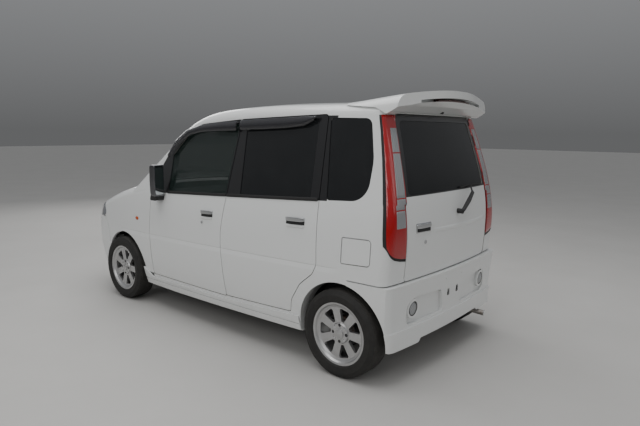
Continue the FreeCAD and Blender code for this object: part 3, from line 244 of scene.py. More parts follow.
def above_belt(tree, x, y, z):
    """window frames above the belt line, in black film"""
    return calc(tree, "GREATER_THAN", z, calc(tree, "MULTIPLY_ADD", x, FILM_SLOPE, FILM_FOOT))


def rear_pillar(tree, x, y, z):
    """black film on the pillar between rear door and quarter glass"""
    mask = calc(tree, "MULTIPLY", above_belt(tree, x, y, z), calc(tree, "GREATER_THAN", PILLAR_TOP, z))
    mask = calc(tree, "MULTIPLY", mask, calc(tree, "GREATER_THAN", x, PILLAR_REAR))
    return calc(tree, "MULTIPLY", mask, calc(tree, "GREATER_THAN", PILLAR_FRONT, x))


def round_glass(tree, x, y, z):
    """back door's black frame round its glass"""
    return calc(tree, "GREATER_THAN", z, BACK_GLASS_FOOT)


def facing_in(tree, x, y, z, lengthways):
    """1 where the surface looks at the inside of the car"""
    normal = add_node(tree, "ShaderNodeTexCoord").outputs["Normal"]
    n = add_node(tree, "ShaderNodeSeparateXYZ", {0: normal})
    across = calc(tree, "MULTIPLY", n.outputs["Y"], y)
    upward = calc(tree, "MULTIPLY", n.outputs["Z"], calc(tree, "SUBTRACT", z, 0.9))
    total = calc(tree, "ADD", across, upward)
    total = calc(tree, "MULTIPLY_ADD", n.outputs["X"], calc(tree, "MULTIPLY", x, lengthways), total)
    return calc(tree, "LESS_THAN", total, -0.12)


def painted(name, dust=0.35, dust_top=0.42, film=None, lined=None):
    """lacquered white paint; film masks black film, lined masks inner trim"""
    made, tree, shader = new_material(name, {
        "Coat Weight": 0.8, "Coat Roughness": 0.05, "Coat IOR": 1.5, "Specular IOR Level": 0.4,
    })
    place, x, y, z = separate(tree)
    amounts = {"Clean Roughness": 0.30, "Dust Top": dust_top, "Amount": dust, "Colour": PAINT_WHITE}
    dirt = add_node(tree, "ShaderNodeGroup", amounts, node_tree=dusting)
    base, rough = dirt.outputs["Colour"], dirt.outputs["Roughness"]
    if film:
        base = blend_colours(tree, film(tree, x, y, z), base, FILM_BLACK)
    if lined is not None:
        inner = facing_in(tree, x, y, z, lined)
        felt = noise(tree, place, 300, 3)
        cloth = blend_colours(tree, felt, LINING_GREY, (0.40, 0.39, 0.36, 1))
        base = blend_colours(tree, inner, base, cloth)
        rough = calc(tree, "MAXIMUM", rough, calc(tree, "MULTIPLY", inner, 0.85))
        feed(shader, "Coat Weight", calc(tree, "SUBTRACT", 0.8, inner, clamp=True))
    feed(shader, "Base Color", base)
    feed(shader, "Roughness", rough)
    pressing = add_node(tree, "ShaderNodeGroup", {"Depth": LEDGE_DEPTH}, node_tree=flank_press)
    feed(shader, "Normal", pressing.outputs["Normal"])
    return made


def dress(node, material):
    """CAD node gets one material on all its faces"""
    slots = nodes[node].data.materials
    slots.clear()
    slots.append(material)


white_paint = painted("white_paint")
bumper_paint = painted("bumper_paint", dust=0.5, dust_top=0.34)
door_paint = painted("door_paint", film=above_belt, lined=0.0)
shell_paint = painted("shell_paint", film=rear_pillar, lined=0.0)
tail_paint = painted("tail_paint", film=round_glass, lined=0.5)
for node in ("bonnet", "front_fenders", "roof_spoiler", "fuel_lid"):
    dress(node, white_paint)
for node in ("front_bumper", "rear_bumper", "side_skirts"):
    dress(node, bumper_paint)
dress("body_shell", shell_paint)
dress("back_door", tail_paint)
for side, sign in SIDES:
    dress(f"front_door_{side}", door_paint)
    dress(f"rear_door_{side}", door_paint)

# Plastics and rubber: moulded black and grey parts with a fine spark-eroded
# grain that breaks up their shine.
moulding, come, go = new_group(
    "moulded_grain",
    [("Colour", "NodeSocketColor", FILM_BLACK), ("Scale", "NodeSocketFloat", 900.0),
     ("Depth", "NodeSocketFloat", 0.00006), ("Roughness", "NodeSocketFloat", 0.5)],
    [("Colour", "NodeSocketColor"), ("Roughness", "NodeSocketFloat"), ("Normal", "NodeSocketVector")],
)
place, x, y, z = separate(moulding)
pits = add_node(moulding, "ShaderNodeTexVoronoi", {"Vector": place, "Scale": come.outputs["Scale"]})
wear = noise(moulding, place, 14, 6, 0.6)
pale = blend_colours(moulding, 0.35, come.outputs["Colour"], (0.16, 0.155, 0.15, 1))
worn = calc(moulding, "MULTIPLY", wear, 0.3)
toned = blend_colours(moulding, worn, come.outputs["Colour"], pale)
feed(go, "Colour", toned)
rough = calc(moulding, "MULTIPLY_ADD", wear, 0.2, come.outputs["Roughness"])
feed(go, "Roughness", calc(moulding, "SUBTRACT", rough, 0.1, clamp=True))
level = calc(moulding, "MULTIPLY", pits.outputs["Distance"], come.outputs["Depth"])
bump = add_node(moulding, "ShaderNodeBump", {"Height": level, "Strength": 1.0, "Distance": 1.0})
feed(go, "Normal", bump.outputs["Normal"])


def moulded(name, colour, roughness=0.5, scale=900.0, depth=0.00006):
    """grained plastic in one colour"""
    made, tree, shader = new_material(name, {"Specular IOR Level": 0.45})
    look = {"Colour": colour, "Scale": scale, "Depth": depth, "Roughness": roughness}
    grain = add_node(tree, "ShaderNodeGroup", look, node_tree=moulding)
    feed(shader, "Base Color", grain.outputs["Colour"])
    feed(shader, "Roughness", grain.outputs["Roughness"])
    feed(shader, "Normal", grain.outputs["Normal"])
    return made


moulded_black = moulded("moulded_black", (0.016, 0.016, 0.017, 1), 0.45)
seal_rubber = moulded("seal_rubber", (0.010, 0.010, 0.010, 1), 0.7, 1600.0, 0.00003)
gloss_black = moulded("gloss_black", (0.008, 0.008, 0.009, 1), 0.16, 400.0, 0.000004)
chrome, tree, shader = new_material("chrome", {"Base Color": (0.62, 0.63, 0.64, 1), "Metallic": 1.0})
place, x, y, z = separate(tree)
haze = noise(tree, place, 35, 5)
feed(shader, "Roughness", calc(tree, "MULTIPLY_ADD", haze, 0.12, 0.04))
for node in ("cowl_panel", "steering_wheel", "rear_wiper"):
    dress(node, moulded_black)

# Glazing: toughened side glass, nearly black privacy glass from the rear doors
# back and a lighter green tint in front, each with a faint film of dust.


def tinted(name, colour, alpha):
    """glass as a coloured gloss sheet that lets part of the light through"""
    made, tree, shader = new_material(name, {"Alpha": alpha, "IOR": 1.52, "Specular IOR Level": 0.5})
    place, x, y, z = separate(tree)
    film = noise(tree, place, 6, 7, 0.62)
    feed(shader, "Roughness", calc(tree, "MULTIPLY_ADD", film, 0.03, 0.005))
    dusty = calc(tree, "MULTIPLY", film, 0.05)
    dusty = blend_colours(tree, dusty, colour, (0.25, 0.25, 0.25, 1))
    feed(shader, "Base Color", dusty)
    return made


privacy_glass = tinted("privacy_glass", (0.005, 0.006, 0.007, 1), 0.95)
front_tint = tinted("front_tint", (0.012, 0.022, 0.019, 1), 0.62)
screen_glass = tinted("screen_glass", (0.02, 0.035, 0.03, 1), 0.45)
for side, sign in SIDES:
    dress(f"front_door_glass_{side}", front_tint)
    dress(f"rear_door_glass_{side}", privacy_glass)
dress("windscreen", screen_glass)
dress("quarter_glasses", privacy_glass)
dress("back_glass", privacy_glass)

# Window seals: black rubber strips along the foot of the door windows, pressed
# on to the door skins.
WIDEST_X, WIDEST_Y, WIDEST_Z = -0.3, 0.7375, 0.61
SILL_Y, SILL_Z, BELT_Y, BELT_Z, BELT_FALL = 0.690, 0.19, 0.698, 0.987, 0.05
PLAN_RADIUS, GLASS_LEAN = 25, 0.174
BELT_STRIPS = {
    "front_door": ([(-0.292, 0.996), (0.41, 0.961)], [(-0.292, 1.018), (0.41, 0.983)]),
    "rear_door": ([(-1.118, 1.036), (-0.302, 0.996)], [(-1.118, 1.058), (-0.302, 1.018)]),
}


def flank(x, z):
    """half width of the side: an arc through sill, widest point and belt, then the lean of the glass"""
    pinch = (x - WIDEST_X) ** 2 / (2 * PLAN_RADIUS)
    belt = BELT_Z - BELT_FALL * (x - WIDEST_X)
    if z > belt:
        return BELT_Y - pinch - GLASS_LEAN * (z - belt)
    ax, ay, bx, by = SILL_Y - WIDEST_Y, SILL_Z - WIDEST_Z, BELT_Y - WIDEST_Y, belt - WIDEST_Z
    area = 2 * (ax * by - ay * bx)
    cy = (by * (ax * ax + ay * ay) - ay * (bx * bx + by * by)) / area
    cz = (ax * (bx * bx + by * by) - bx * (ax * ax + ay * ay)) / area
    return WIDEST_Y + cy + math.sqrt(cy * cy + cz * cz - (z - WIDEST_Z - cz) ** 2) - pinch


def deselect():
    bpy.ops.object.select_all(action="DESELECT")


def finish_with(piece, kind, **settings):
    """add a modifier and apply it"""
    bpy.context.view_layer.objects.active = piece
    made = piece.modifiers.new(kind.lower(), kind)
    for key, value in settings.items():
        setattr(made, key, value)
    bpy.ops.object.modifier_apply(modifier=made.name)


def complete(piece, material, body):
    """piece gets its place into its mesh, a material and the body it rides on"""
    deselect()
    piece.select_set(True)
    bpy.context.view_layer.objects.active = piece
    bpy.ops.object.transform_apply(location=True, rotation=True, scale=True)
    bpy.ops.object.shade_smooth_by_angle(angle=math.radians(38))
    piece.data.materials.clear()
    piece.data.materials.append(material)
    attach(piece, body)
    return piece


def on_line(points, u):
    """point at share u along a line of points"""
    step = u * (len(points) - 1)
    i = min(int(step), len(points) - 2)
    return Vector(points[i]).lerp(Vector(points[i + 1]), step - i)


def thin_shell(name, grid, spot_at, axis, outward, depth, edge=0.25):
    """wall over a grid whose points spot_at gives for shares u and v"""
    deselect()
    bpy.ops.mesh.primitive_grid_add(x_subdivisions=grid[0], y_subdivisions=grid[1], size=1)
    piece = bpy.context.object
    piece.name = name
    for vertex in piece.data.vertices:
        vertex.co = spot_at(vertex.co.x + 0.5, vertex.co.y + 0.5)
    if piece.data.polygons[0].normal[axis] * outward < 0:
        piece.data.flip_normals()
    finish_with(piece, "SOLIDIFY", thickness=depth, offset=-1)
    if edge:
        finish_with(piece, "BEVEL", width=depth * edge, segments=2, limit_method="ANGLE")
    return piece


def flank_strip(name, sign, low, high, proud, depth, grid=(30, 4), crown=0.0):
    """strip that follows the flank between two lines of (x, z) points"""

    def spot_at(u, v):
        spot = on_line(low, u).lerp(on_line(high, u), v)
        swell = crown * (1 - (2 * v - 1) ** 2)
        return spot.x, sign * (flank(spot.x, spot.y) + proud + swell), spot.y

    return thin_shell(name, grid, spot_at, 1, sign, depth)


for side, sign in SIDES:
    for door, (low, high) in BELT_STRIPS.items():
        strip = flank_strip(f"belt_seal_{door}_{side}", sign, low, high, 0.004, 0.006, crown=0.002)
        complete(strip, seal_rubber, "door_" + door.split("_")[0] + f"_{side}")

# Door visors: smoked acrylic shades clipped over the tops of the side windows,
# standing a finger's width off the glass.
VISORS = {
    "front": (
        [(0.425, 1.238), (0.33, 1.335), (0.20, 1.408), (0.05, 1.435), (-0.15, 1.444), (-0.335, 1.448)],
        [(0.455, 1.262), (0.37, 1.368), (0.24, 1.448), (0.06, 1.487), (-0.15, 1.504), (-0.338, 1.513)],
    ),
    "rear": (
        [(-0.378, 1.452), (-0.60, 1.458), (-0.80, 1.466), (-0.95, 1.480), (-1.025, 1.512)],
        [(-0.372, 1.518), (-0.60, 1.527), (-0.80, 1.533), (-0.95, 1.538), (-1.040, 1.541)],
    ),
}
VISOR_STAND, VISOR_SHEET, VISOR_GRID, VISOR_CROWN = 0.012, 0.003, (40, 8), 0.010
smoked, tree, shader = new_material("smoked_acrylic", {
    "Base Color": (0.03, 0.03, 0.034, 1), "Alpha": 0.82, "Specular IOR Level": 0.6, "Coat Weight": 0.4,
})
place, x, y, z = separate(tree)
scuff = noise(tree, place, 26, 6)
feed(shader, "Roughness", calc(tree, "MULTIPLY_ADD", scuff, 0.14, 0.06))
for side, sign in SIDES:
    for door, (low, high) in VISORS.items():
        name = f"visor_{door}_{side}"
        visor = flank_strip(name, sign, low, high, VISOR_STAND, VISOR_SHEET, VISOR_GRID, VISOR_CROWN)
        complete(visor, smoked, f"door_{door}_{side}")

# Door handles: chromed pull bars over thin black sheets that paint the shade of
# the finger wells, with a lock barrel below the front ones. The back door has
# the same bar in a bright bezel.
HANDLES = {"front": (-0.110, 0.868, 0.128), "rear": (-0.961, 0.911, 0.150)}
BAR_HEIGHT, BAR_DEPTH, BAR_STAND, BAR_TILT = 0.024, 0.020, 0.013, 0.04
WELL_FOOT, WELL_TOP, LIP_FOOT, LIP_TOP, LIP_FALL = 0.030, 0.014, 0.048, 0.030, 0.001
LOCK_X, LOCK_Z, LOCK_RADIUS, LOCK_RIM = -0.062, 0.795, 0.011, 0.003
BACKWARD = Matrix.Rotation(-math.pi / 2, 4, "Y")


def outward(sign):
    """turn that points a piece's +Z out of the car's side"""
    return Matrix.Rotation(-sign * math.pi / 2, 4, "X")


def block(name, size, cuts=0):
    """box of a size, with its faces cut into a grid"""
    deselect()
    bpy.ops.mesh.primitive_cube_add(size=1)
    piece = bpy.context.object
    piece.name = name
    piece.scale = size
    bpy.ops.object.transform_apply(location=False, rotation=False, scale=True)
    if cuts:
        bpy.ops.object.mode_set(mode="EDIT")
        bpy.ops.mesh.select_all(action="SELECT")
        bpy.ops.mesh.subdivide(number_cuts=cuts)
        bpy.ops.object.mode_set(mode="OBJECT")
    return piece


def sink(piece, axis, outward, rim, way):
    """inset a piece's end face and move it"""
    bpy.ops.object.mode_set(mode="EDIT")
    bpy.ops.mesh.select_mode(type="FACE")
    bpy.ops.object.mode_set(mode="OBJECT")
    for polygon in piece.data.polygons:
        polygon.select = polygon.normal[axis] * outward > 0.9
    bpy.ops.object.mode_set(mode="EDIT")
    bpy.ops.mesh.inset(thickness=rim)
    bpy.ops.mesh.extrude_region_move(TRANSFORM_OT_translate={"value": way})
    bpy.ops.object.mode_set(mode="OBJECT")


def bar_at(name, centre, length, depth, turn, sign):
    """rounded handle bar with ends that curve back to the panel"""
    piece = block(name, (length, depth, BAR_HEIGHT), 5)
    for vertex in piece.data.vertices:
        u = abs(vertex.co.x) / (length / 2)
        vertex.co.y -= sign * depth * 0.6 * max(0, u - 0.55) ** 2 / 0.2
    finish_with(piece, "SUBSURF", levels=2, render_levels=2)
    piece.matrix_world = Matrix.Translation(centre) @ turn
    return piece


def barrel(name, spot, turn, rim):
    """round key barrel with a sunk face"""
    deselect()
    bpy.ops.mesh.primitive_cylinder_add(vertices=32, radius=LOCK_RADIUS, depth=0.008)
    lock = bpy.context.object
    lock.name = name
    sink(lock, 2, 1, rim, (0, 0, -0.002))
    lock.matrix_world = Matrix.Translation(spot) @ turn
    return lock


for side, sign in SIDES:
    for door, (x, z, length) in HANDLES.items():
        body = f"door_{door}_{side}"
        half = length / 2
        slope = half * BAR_TILT
        low = [(x - half, z - WELL_FOOT + slope), (x + half, z - WELL_FOOT - slope)]
        high = [(x - half, z + WELL_TOP + slope), (x + half, z + WELL_TOP - slope)]
        # Painted shade: the finger well is a flat black sheet on the flank, not a recess.
        well = flank_strip(f"handle_well_shade_{door}_{side}", sign, low, high, 0.0012, 0.0015, (12, 4))
        complete(well, moulded_black, body)
        spot = (x, sign * (flank(x, z) + BAR_STAND), z + 0.004)
        turn = Matrix.Rotation(BAR_TILT, 4, "Y")
        bar = bar_at(f"handle_bar_{door}_{side}", spot, length * 1.02, BAR_DEPTH, turn, sign)
        complete(bar, chrome, body)
        low = [(x - half * 0.9, z - LIP_FOOT + LIP_FALL), (x + half * 0.9, z - LIP_FOOT - LIP_FALL)]
        high = [(x - half, z - LIP_TOP + LIP_FALL), (x + half, z - LIP_TOP - LIP_FALL)]
        lip = flank_strip(f"handle_lip_{door}_{side}", sign, low, high, 0.002, 0.004, (12, 4), 0.004)
        complete(lip, white_paint, body)
    spot = (LOCK_X, sign * (flank(LOCK_X, LOCK_Z) + 0.001), LOCK_Z)
    complete(barrel(f"door_lock_{side}", spot, outward(sign), LOCK_RIM), chrome, f"door_front_{side}")

# Back door furniture: the bezel, the painted shade of the finger slot and the bar
# of its pull handle, a lock below and the pressed crease that runs on from the handle.
BACK_BAR, BACK_BAR_LENGTH, BACK_LOCK = (0.365, 0.914), 0.142, (0.345, 0.815)
BEZEL = ([(0.440, 0.876), (0.290, 0.873)], [(0.440, 0.932), (0.290, 0.929)])
FINGER_SLOT = ([(0.430, 0.881), (0.300, 0.878)], [(0.430, 0.903), (0.300, 0.900)])
CREASE = (
    [(0.262, 0.858), (0.0, 0.851), (-0.30, 0.850), (-0.478, 0.856)],
    [(0.262, 0.886), (0.0, 0.880), (-0.30, 0.878), (-0.478, 0.884)],
)


def skin_of(*names):
    """searchable surface of several CAD nodes together"""
    whole = bmesh.new()
    for name in names:
        whole.from_mesh(nodes[name].data)
    found = BVHTree.FromBMesh(whole)
    whole.free()
    return found


def behind(skin, y, z):
    """x of a skin seen from behind at y and z"""
    spot = skin.ray_cast(Vector((-2.2, y, z)), Vector((1, 0, 0)))[0]
    return spot.x if spot else -1.64


tail_skin = skin_of("back_door", "back_glass", "body_shell")


def tail_strip(name, lines, proud, depth, grid=(24, 4), crown=0.0):
    """strip that follows the back door between two lines of (y, z) points"""
    low, high = lines

    def spot_at(u, v):
        spot = on_line(low, u).lerp(on_line(high, u), v)
        swell = crown * (1 - (2 * v - 1) ** 2) * min(1, 6 * min(u, 1 - u))
        return behind(tail_skin, spot.x, spot.y) - proud - swell, spot.x, spot.y

    return thin_shell(name, grid, spot_at, 0, -1, depth)


complete(tail_strip("handle_bezel_back", BEZEL, 0.003, 0.004, crown=0.003), chrome, "door_back")
# Painted shade: a gloss black sheet on the bezel stands for the shaded finger slot.
complete(tail_strip("handle_well_back", FINGER_SLOT, 0.0062, 0.001), gloss_black, "door_back")
spot = (behind(tail_skin, *BACK_BAR) - 0.010, *BACK_BAR)
turn = Matrix.Rotation(math.radians(85), 4, "Z")
complete(bar_at("handle_bar_back", spot, BACK_BAR_LENGTH, BAR_DEPTH * 0.7, turn, 1), chrome, "door_back")
complete(tail_strip("back_door_crease", CREASE, 0.0008, 0.003, (40, 6), 0.004), tail_paint, "door_back")
spot = (behind(tail_skin, *BACK_LOCK) - 0.001, *BACK_LOCK)
complete(barrel("back_door_lock", spot, BACKWARD, LOCK_RADIUS * 0.28), chrome, "door_back")

# Tail lamps: tall lenses of red acrylic that wrap round the corner pillars,
# with clear windows for the turn and reversing lamps and a black gasket.
OUTER_EDGE = [  # (z, x) on the flank
    (0.70, -1.642), (0.755, -1.633), (0.778, -1.629), (0.825, -1.620), (0.869, -1.613), (0.976, -1.602),
    (1.082, -1.586), (1.189, -1.567), (1.295, -1.547), (1.376, -1.529), (1.458, -1.510), (1.551, -1.484),
    (1.60, -1.47),
]
INNER_EDGE = [(0.70, 0.531), (1.08, 0.531), (1.30, 0.520), (1.50, 0.508), (1.60, 0.510)]  # (z, y) at the back
LENS_FOOT = [  # (share across, z)
    (-0.2, 0.862), (0.0, 0.822), (0.12, 0.785), (0.3, 0.764), (0.6, 0.751), (1.0, 0.744), (1.1, 0.744),
]
LENS_TOP = [(-0.2, 1.540), (0.0, 1.542), (1.0, 1.544), (1.1, 1.544)]
LAMP_HUB = Vector((-1.38, 0.38))
LAMP_BEND, BEND_X, BEND_SLOPE = 1.05, -1.66, 0.20
RAY_START, RAY_LENGTH, LEAST_REACH, SPARE_REACH = 0.9, 0.76, 0.15, 0.2
LENS_PROUD, GASKET_PROUD, WINDOW_PROUD = 0.003, 0.0016, 0.0066
ALL_ACROSS, ALL_HEIGHTS, WINDOW_ACROSS = (0.0, 1.0), (0.0, 2.0), (0.42, 0.93)
WINDOWS = ((0.922, 1.018), (1.024, 1.082), (1.088, 1.330), (1.336, 1.470))


def read_line(points, key):
    """value at a key between listed (key, value) points"""
    for (k0, v0), (k1, v1) in zip(points, points[1:]):
        if key <= k1:
            return v0 + (v1 - v0) * max(0.0, (key - k0) / (k1 - k0))
    return points[-1][1]


corner_skin = {side: skin_of("body_shell", "back_door", f"tail_lamp_{side}") for side, sign in SIDES}


def corner_reach(side, sign, angle, z):
    """distance of the corner's skin from the hub, over any gap in it"""
    hub = Vector((LAMP_HUB.x, sign * LAMP_HUB.y))
    for spread in (0.012, 0.05, 0.12, 0.25, 0.45):
        best = 0.0
        for shift in (-spread, 0.0, spread):
            way = Vector((math.cos(angle + shift), sign * math.sin(angle + shift), 0))
            spot = corner_skin[side].ray_cast(Vector((*hub, z)) + way * RAY_START, -way, RAY_LENGTH)[0]
            if spot:
                best = max(best, (spot.xy - hub).length)
        if best > LEAST_REACH:
            return best
    return SPARE_REACH


def corner_patch(name, sides, across, upward, proud, depth, grid=(20, 40), crown=0.0, drop=0.0):
    """patch of lens over the corner, in shares across and heights"""
    side, sign = sides

    def spot_at(u, v):
        share = across[0] + (across[1] - across[0]) * u
        low = max(read_line(LENS_FOOT, share) - drop, upward[0])
        high = min(read_line(LENS_TOP, share), upward[1])
        z = low + (high - low) * v
        x_out, y_in = read_line(OUTER_EDGE, z), read_line(INNER_EDGE, z)
        if z > LAMP_BEND:
            x_in = BEND_X + BEND_SLOPE * (z - LAMP_BEND)
        else:
            x_in = behind(tail_skin, y_in - 0.02, z)
        first = math.atan2(flank(x_out, z) - LAMP_HUB.y, x_out - LAMP_HUB.x)
        last = math.atan2(y_in - LAMP_HUB.y, x_in - LAMP_HUB.x)
        angle = first + (last - first) * share
        swell = crown * (1 - (2 * v - 1) ** 4) * (1 - (2 * u - 1) ** 4)
        reach = corner_reach(side, sign, angle, z) + proud + swell
        return LAMP_HUB.x + reach * math.cos(angle), sign * (LAMP_HUB.y + reach * math.sin(angle)), z

    return thin_shell(name, grid, spot_at, 0, -1, depth)


def lens(name, colour, deep, flutes, depth=0.0006):
    """moulded acrylic lens with upright flutes on its inner face"""
    made, tree, shader = new_material(name, {
        "Specular IOR Level": 0.5, "Coat Weight": 0.6, "Coat Roughness": 0.05, "Roughness": 0.08,
    })
    place, x, y, z = separate(tree)
    turned = calc(tree, "ADD", y, calc(tree, "MULTIPLY", x, 0.4))
    wave = calc(tree, "SINE", calc(tree, "MULTIPLY", turned, flutes))
    cross = calc(tree, "SINE", calc(tree, "MULTIPLY", z, flutes * 0.8))
    mixed = calc(tree, "MULTIPLY_ADD", calc(tree, "MULTIPLY", wave, cross), 0.25, 0.5)
    feed(shader, "Base Color", blend_colours(tree, mixed, deep, colour))
    relief(tree, shader, wave, depth)
    return made


red_lens = lens("red_lens", (0.50, 0.002, 0.006, 1), (0.25, 0.001, 0.003, 1), 520, 0.00025)
clear_lens = lens("clear_lens", (0.42, 0.43, 0.44, 1), (0.13, 0.135, 0.14, 1), 420)
amber_lens = lens("amber_lens", (0.62, 0.10, 0.012, 1), (0.40, 0.05, 0.006, 1), 900)
dark_lens = lens("dark_lens", (0.10, 0.004, 0.005, 1), (0.04, 0.002, 0.002, 1), 700)
for side, sign in SIDES:
    dress(f"tail_lamp_{side}", red_lens)
    corner = (side, sign)
    red = corner_patch(f"tail_lens_{side}", corner, ALL_ACROSS, ALL_HEIGHTS, LENS_PROUD, 0.004, crown=0.003)
    complete(red, red_lens, "root")
    name = f"tail_gasket_{side}"
    gasket = corner_patch(name, corner, (-0.13, 1.0), ALL_HEIGHTS, GASKET_PROUD, 0.003, drop=0.016)
    complete(gasket, seal_rubber, "root")
    for count, heights in enumerate(WINDOWS, 1):
        name = f"tail_window_{side}_{count}"
        window = corner_patch(name, corner, WINDOW_ACROSS, heights, WINDOW_PROUD, 0.003, (10, 12), 0.001)
        complete(window, clear_lens, "root")

# Third stop lamp: a long dark red lens in the mouth of the roof spoiler, with
# the washer nozzle poking out of the panel below it.
STOP_X, STOP_Z, STOP_HALF, STOP_HEIGHT, STOP_BACK = -1.634, 1.6275, 0.20, 0.0135, 0.034
STOP_SWEEP, STOP_SAG, NOZZLE_PLACE = 0.25, 0.122, (-1.552, 0.012, 1.566)


def stop_spot(u, v):
    y = (2 * u - 1) * STOP_HALF
    bulge = 0.003 * (1 - (2 * v - 1) ** 2)
    return STOP_X + STOP_SWEEP * y * y - bulge, y, STOP_Z + STOP_HEIGHT * v - STOP_SAG * y * y


def bead(name, radius, segments, shape):
    """ball whose points a function moves"""
    deselect()
    bpy.ops.mesh.primitive_uv_sphere_add(segments=segments, ring_count=segments // 2, radius=radius)
    piece = bpy.context.object
    piece.name = name
    for vertex in piece.data.vertices:
        vertex.co = shape(*vertex.co)
    return piece


stop = thin_shell("stop_lamp", (24, 4), stop_spot, 0, -1, STOP_BACK, 0.0012 / STOP_BACK)
complete(stop, dark_lens, "root")
nozzle = bead("washer_nozzle", 0.009, 24, lambda x, y, z: (x * 1.6, y, max(z, -0.006)))
nozzle.location = NOZZLE_PLACE
complete(nozzle, moulded_black, "root")

# Bumper lamps: round clear reflex lenses with a raised ring, pressed into the
# rear bumper's bosses.
LENS_Y, LENS_Z, LENS_RADIUS = 0.45, 0.436, 0.040


def hoop(name, radius, thick, steps):
    """round ring about +Z"""
    deselect()
    bpy.ops.mesh.primitive_torus_add(
        major_radius=radius, minor_radius=thick, major_segments=steps[0], minor_segments=steps[1],
    )
    piece = bpy.context.object
    piece.name = name
    return piece


dress("bumper_lamps", gloss_black)
bumper_skin = skin_of("bumper_lamps")
for side, sign in SIDES:
    face = behind(bumper_skin, sign * LENS_Y, LENS_Z)
    dome = bead(f"bumper_lens_{side}", LENS_RADIUS, 48, lambda x, y, z: (x, y, z * (0.16 if z > 0 else 0.03)))
    dome.matrix_world = Matrix.Translation((face - 0.0008, sign * LENS_Y, LENS_Z)) @ BACKWARD
    complete(dome, clear_lens, "root")
    ring = hoop(f"bumper_lens_ring_{side}", LENS_RADIUS + 0.0015, 0.0030, (64, 14))
    ring.matrix_world = Matrix.Translation((face - 0.0012, sign * LENS_Y, LENS_Z)) @ BACKWARD
    complete(ring, gloss_black, "root")

# Plate bracket slots: black clips pushed into the two slots of the rear bumper.
CLIP_Y, CLIP_Z, CLIP_SIZE = 0.058, 0.4565, (0.010, 0.022, 0.044)
slot_skin = skin_of("rear_bumper")
for side, sign in SIDES:
    face = min(behind(slot_skin, sign * 0.044, 0.456), behind(slot_skin, sign * 0.072, 0.456))
    clip = block(f"plate_clip_{side}", CLIP_SIZE)
    clip.location = (face + 0.0035, sign * CLIP_Y, CLIP_Z)
    sink(clip, 0, -1, 0.003, (0.006, 0, 0))
    complete(clip, gloss_black, "root")

# Wheels: rubber tyres with a block tread and ribbed walls on cast alloy rims
# painted silver, each held by four nuts round a plain cap.
HUB_Y, HUB_Z, HUB_ENDS = 0.6525, 0.268, (("front", 1.0525), ("rear", -1.3075))
HUBS = {f"{end}_{side}": Vector((x, sign * HUB_Y, HUB_Z)) for end, x in HUB_ENDS for side, sign in SIDES}
TREAD_RADIUS, NUT_CIRCLE, NUT_RADIUS, CAP_RADIUS = 0.2635, 0.050, 0.00952, 0.029


def about_hub(tree, hub):
    """place, radius and turn about the hub's axis, and distance along it"""
    place = add_node(tree, "ShaderNodeTexCoord").outputs["Object"]
    centred = add_node(tree, "ShaderNodeMapping", {"Vector": place, "Location": tuple(-hub)})
    spot = add_node(tree, "ShaderNodeSeparateXYZ", {0: centred.outputs[0]})
    x, y, z = spot.outputs
    radius = calc(tree, "SQRT", calc(tree, "ADD", calc(tree, "MULTIPLY", x, x), calc(tree, "MULTIPLY", z, z)))
    return centred.outputs[0], radius, calc(tree, "ARCTAN2", z, x), y


for wheel, hub in HUBS.items():
    rubber, tree, shader = new_material(f"tyre_rubber_{wheel}", {"Specular IOR Level": 0.3})
    place, radius, turn, along = about_hub(tree, hub)
    tread = calc(tree, "GREATER_THAN", radius, TREAD_RADIUS)
    lug = calc(tree, "SINE", calc(tree, "MULTIPLY_ADD", turn, 72, calc(tree, "MULTIPLY", along, 160)))
    lug = calc(tree, "GREATER_THAN", lug, -0.55)
    channel = calc(tree, "ABSOLUTE", calc(tree, "SINE", calc(tree, "MULTIPLY", along, 84)))
    blocks = calc(tree, "MULTIPLY", lug, calc(tree, "GREATER_THAN", channel, 0.22))
    ribs = calc(tree, "SINE", calc(tree, "MULTIPLY", radius, 900))
    wall = calc(tree, "MULTIPLY_ADD", ribs, 0.06, 0.5)
    wall = calc(tree, "MULTIPLY", calc(tree, "SUBTRACT", 1.0, tread), wall)
    relief(tree, shader, calc(tree, "ADD", calc(tree, "MULTIPLY", tread, blocks), wall), 0.0035)
    dust = noise(tree, place, 22, 7, 0.65)
    dusty = calc(tree, "MULTIPLY_ADD", tread, 0.35, 0.30)
    dusty = calc(tree, "MULTIPLY", dust, dusty, clamp=True)
    tint = blend_colours(tree, dusty, (0.013, 0.013, 0.013, 1), (0.105, 0.098, 0.088, 1))
    feed(shader, "Base Color", tint)
    feed(shader, "Roughness", calc(tree, "MULTIPLY_ADD", dusty, 0.25, 0.62))
    dress(f"tyre_{wheel}", rubber)

silver, tree, shader = new_material("wheel_silver", {
    "Coat Weight": 0.5, "Coat Roughness": 0.12, "Metallic": 0.75,
})
place, x, y, z = separate(tree)
flake = add_node(tree, "ShaderNodeTexVoronoi", {"Vector": place, "Scale": 1400})
grime = noise(tree, place, 18, 7, 0.66)
sparkle = blend_colours(tree, flake.outputs["Distance"], (0.46, 0.465, 0.47, 1), (0.60, 0.605, 0.61, 1))
dirty = calc(tree, "MULTIPLY", grime, 0.42)
feed(shader, "Base Color", blend_colours(tree, dirty, sparkle, (0.20, 0.17, 0.14, 1)))
feed(shader, "Roughness", calc(tree, "MULTIPLY_ADD", grime, 0.3, 0.22))


def rim_face(skin, hub, sign, radius, angle):
    """y of the rim's outer face at a radius and angle from the hub"""
    start = Vector((hub.x + radius * math.cos(angle), hub.y + sign * 0.3, hub.z + radius * math.sin(angle)))
    spot = skin.ray_cast(start, Vector((0, -sign, 0)))[0]
    return spot.y if spot else hub.y + sign * 0.02


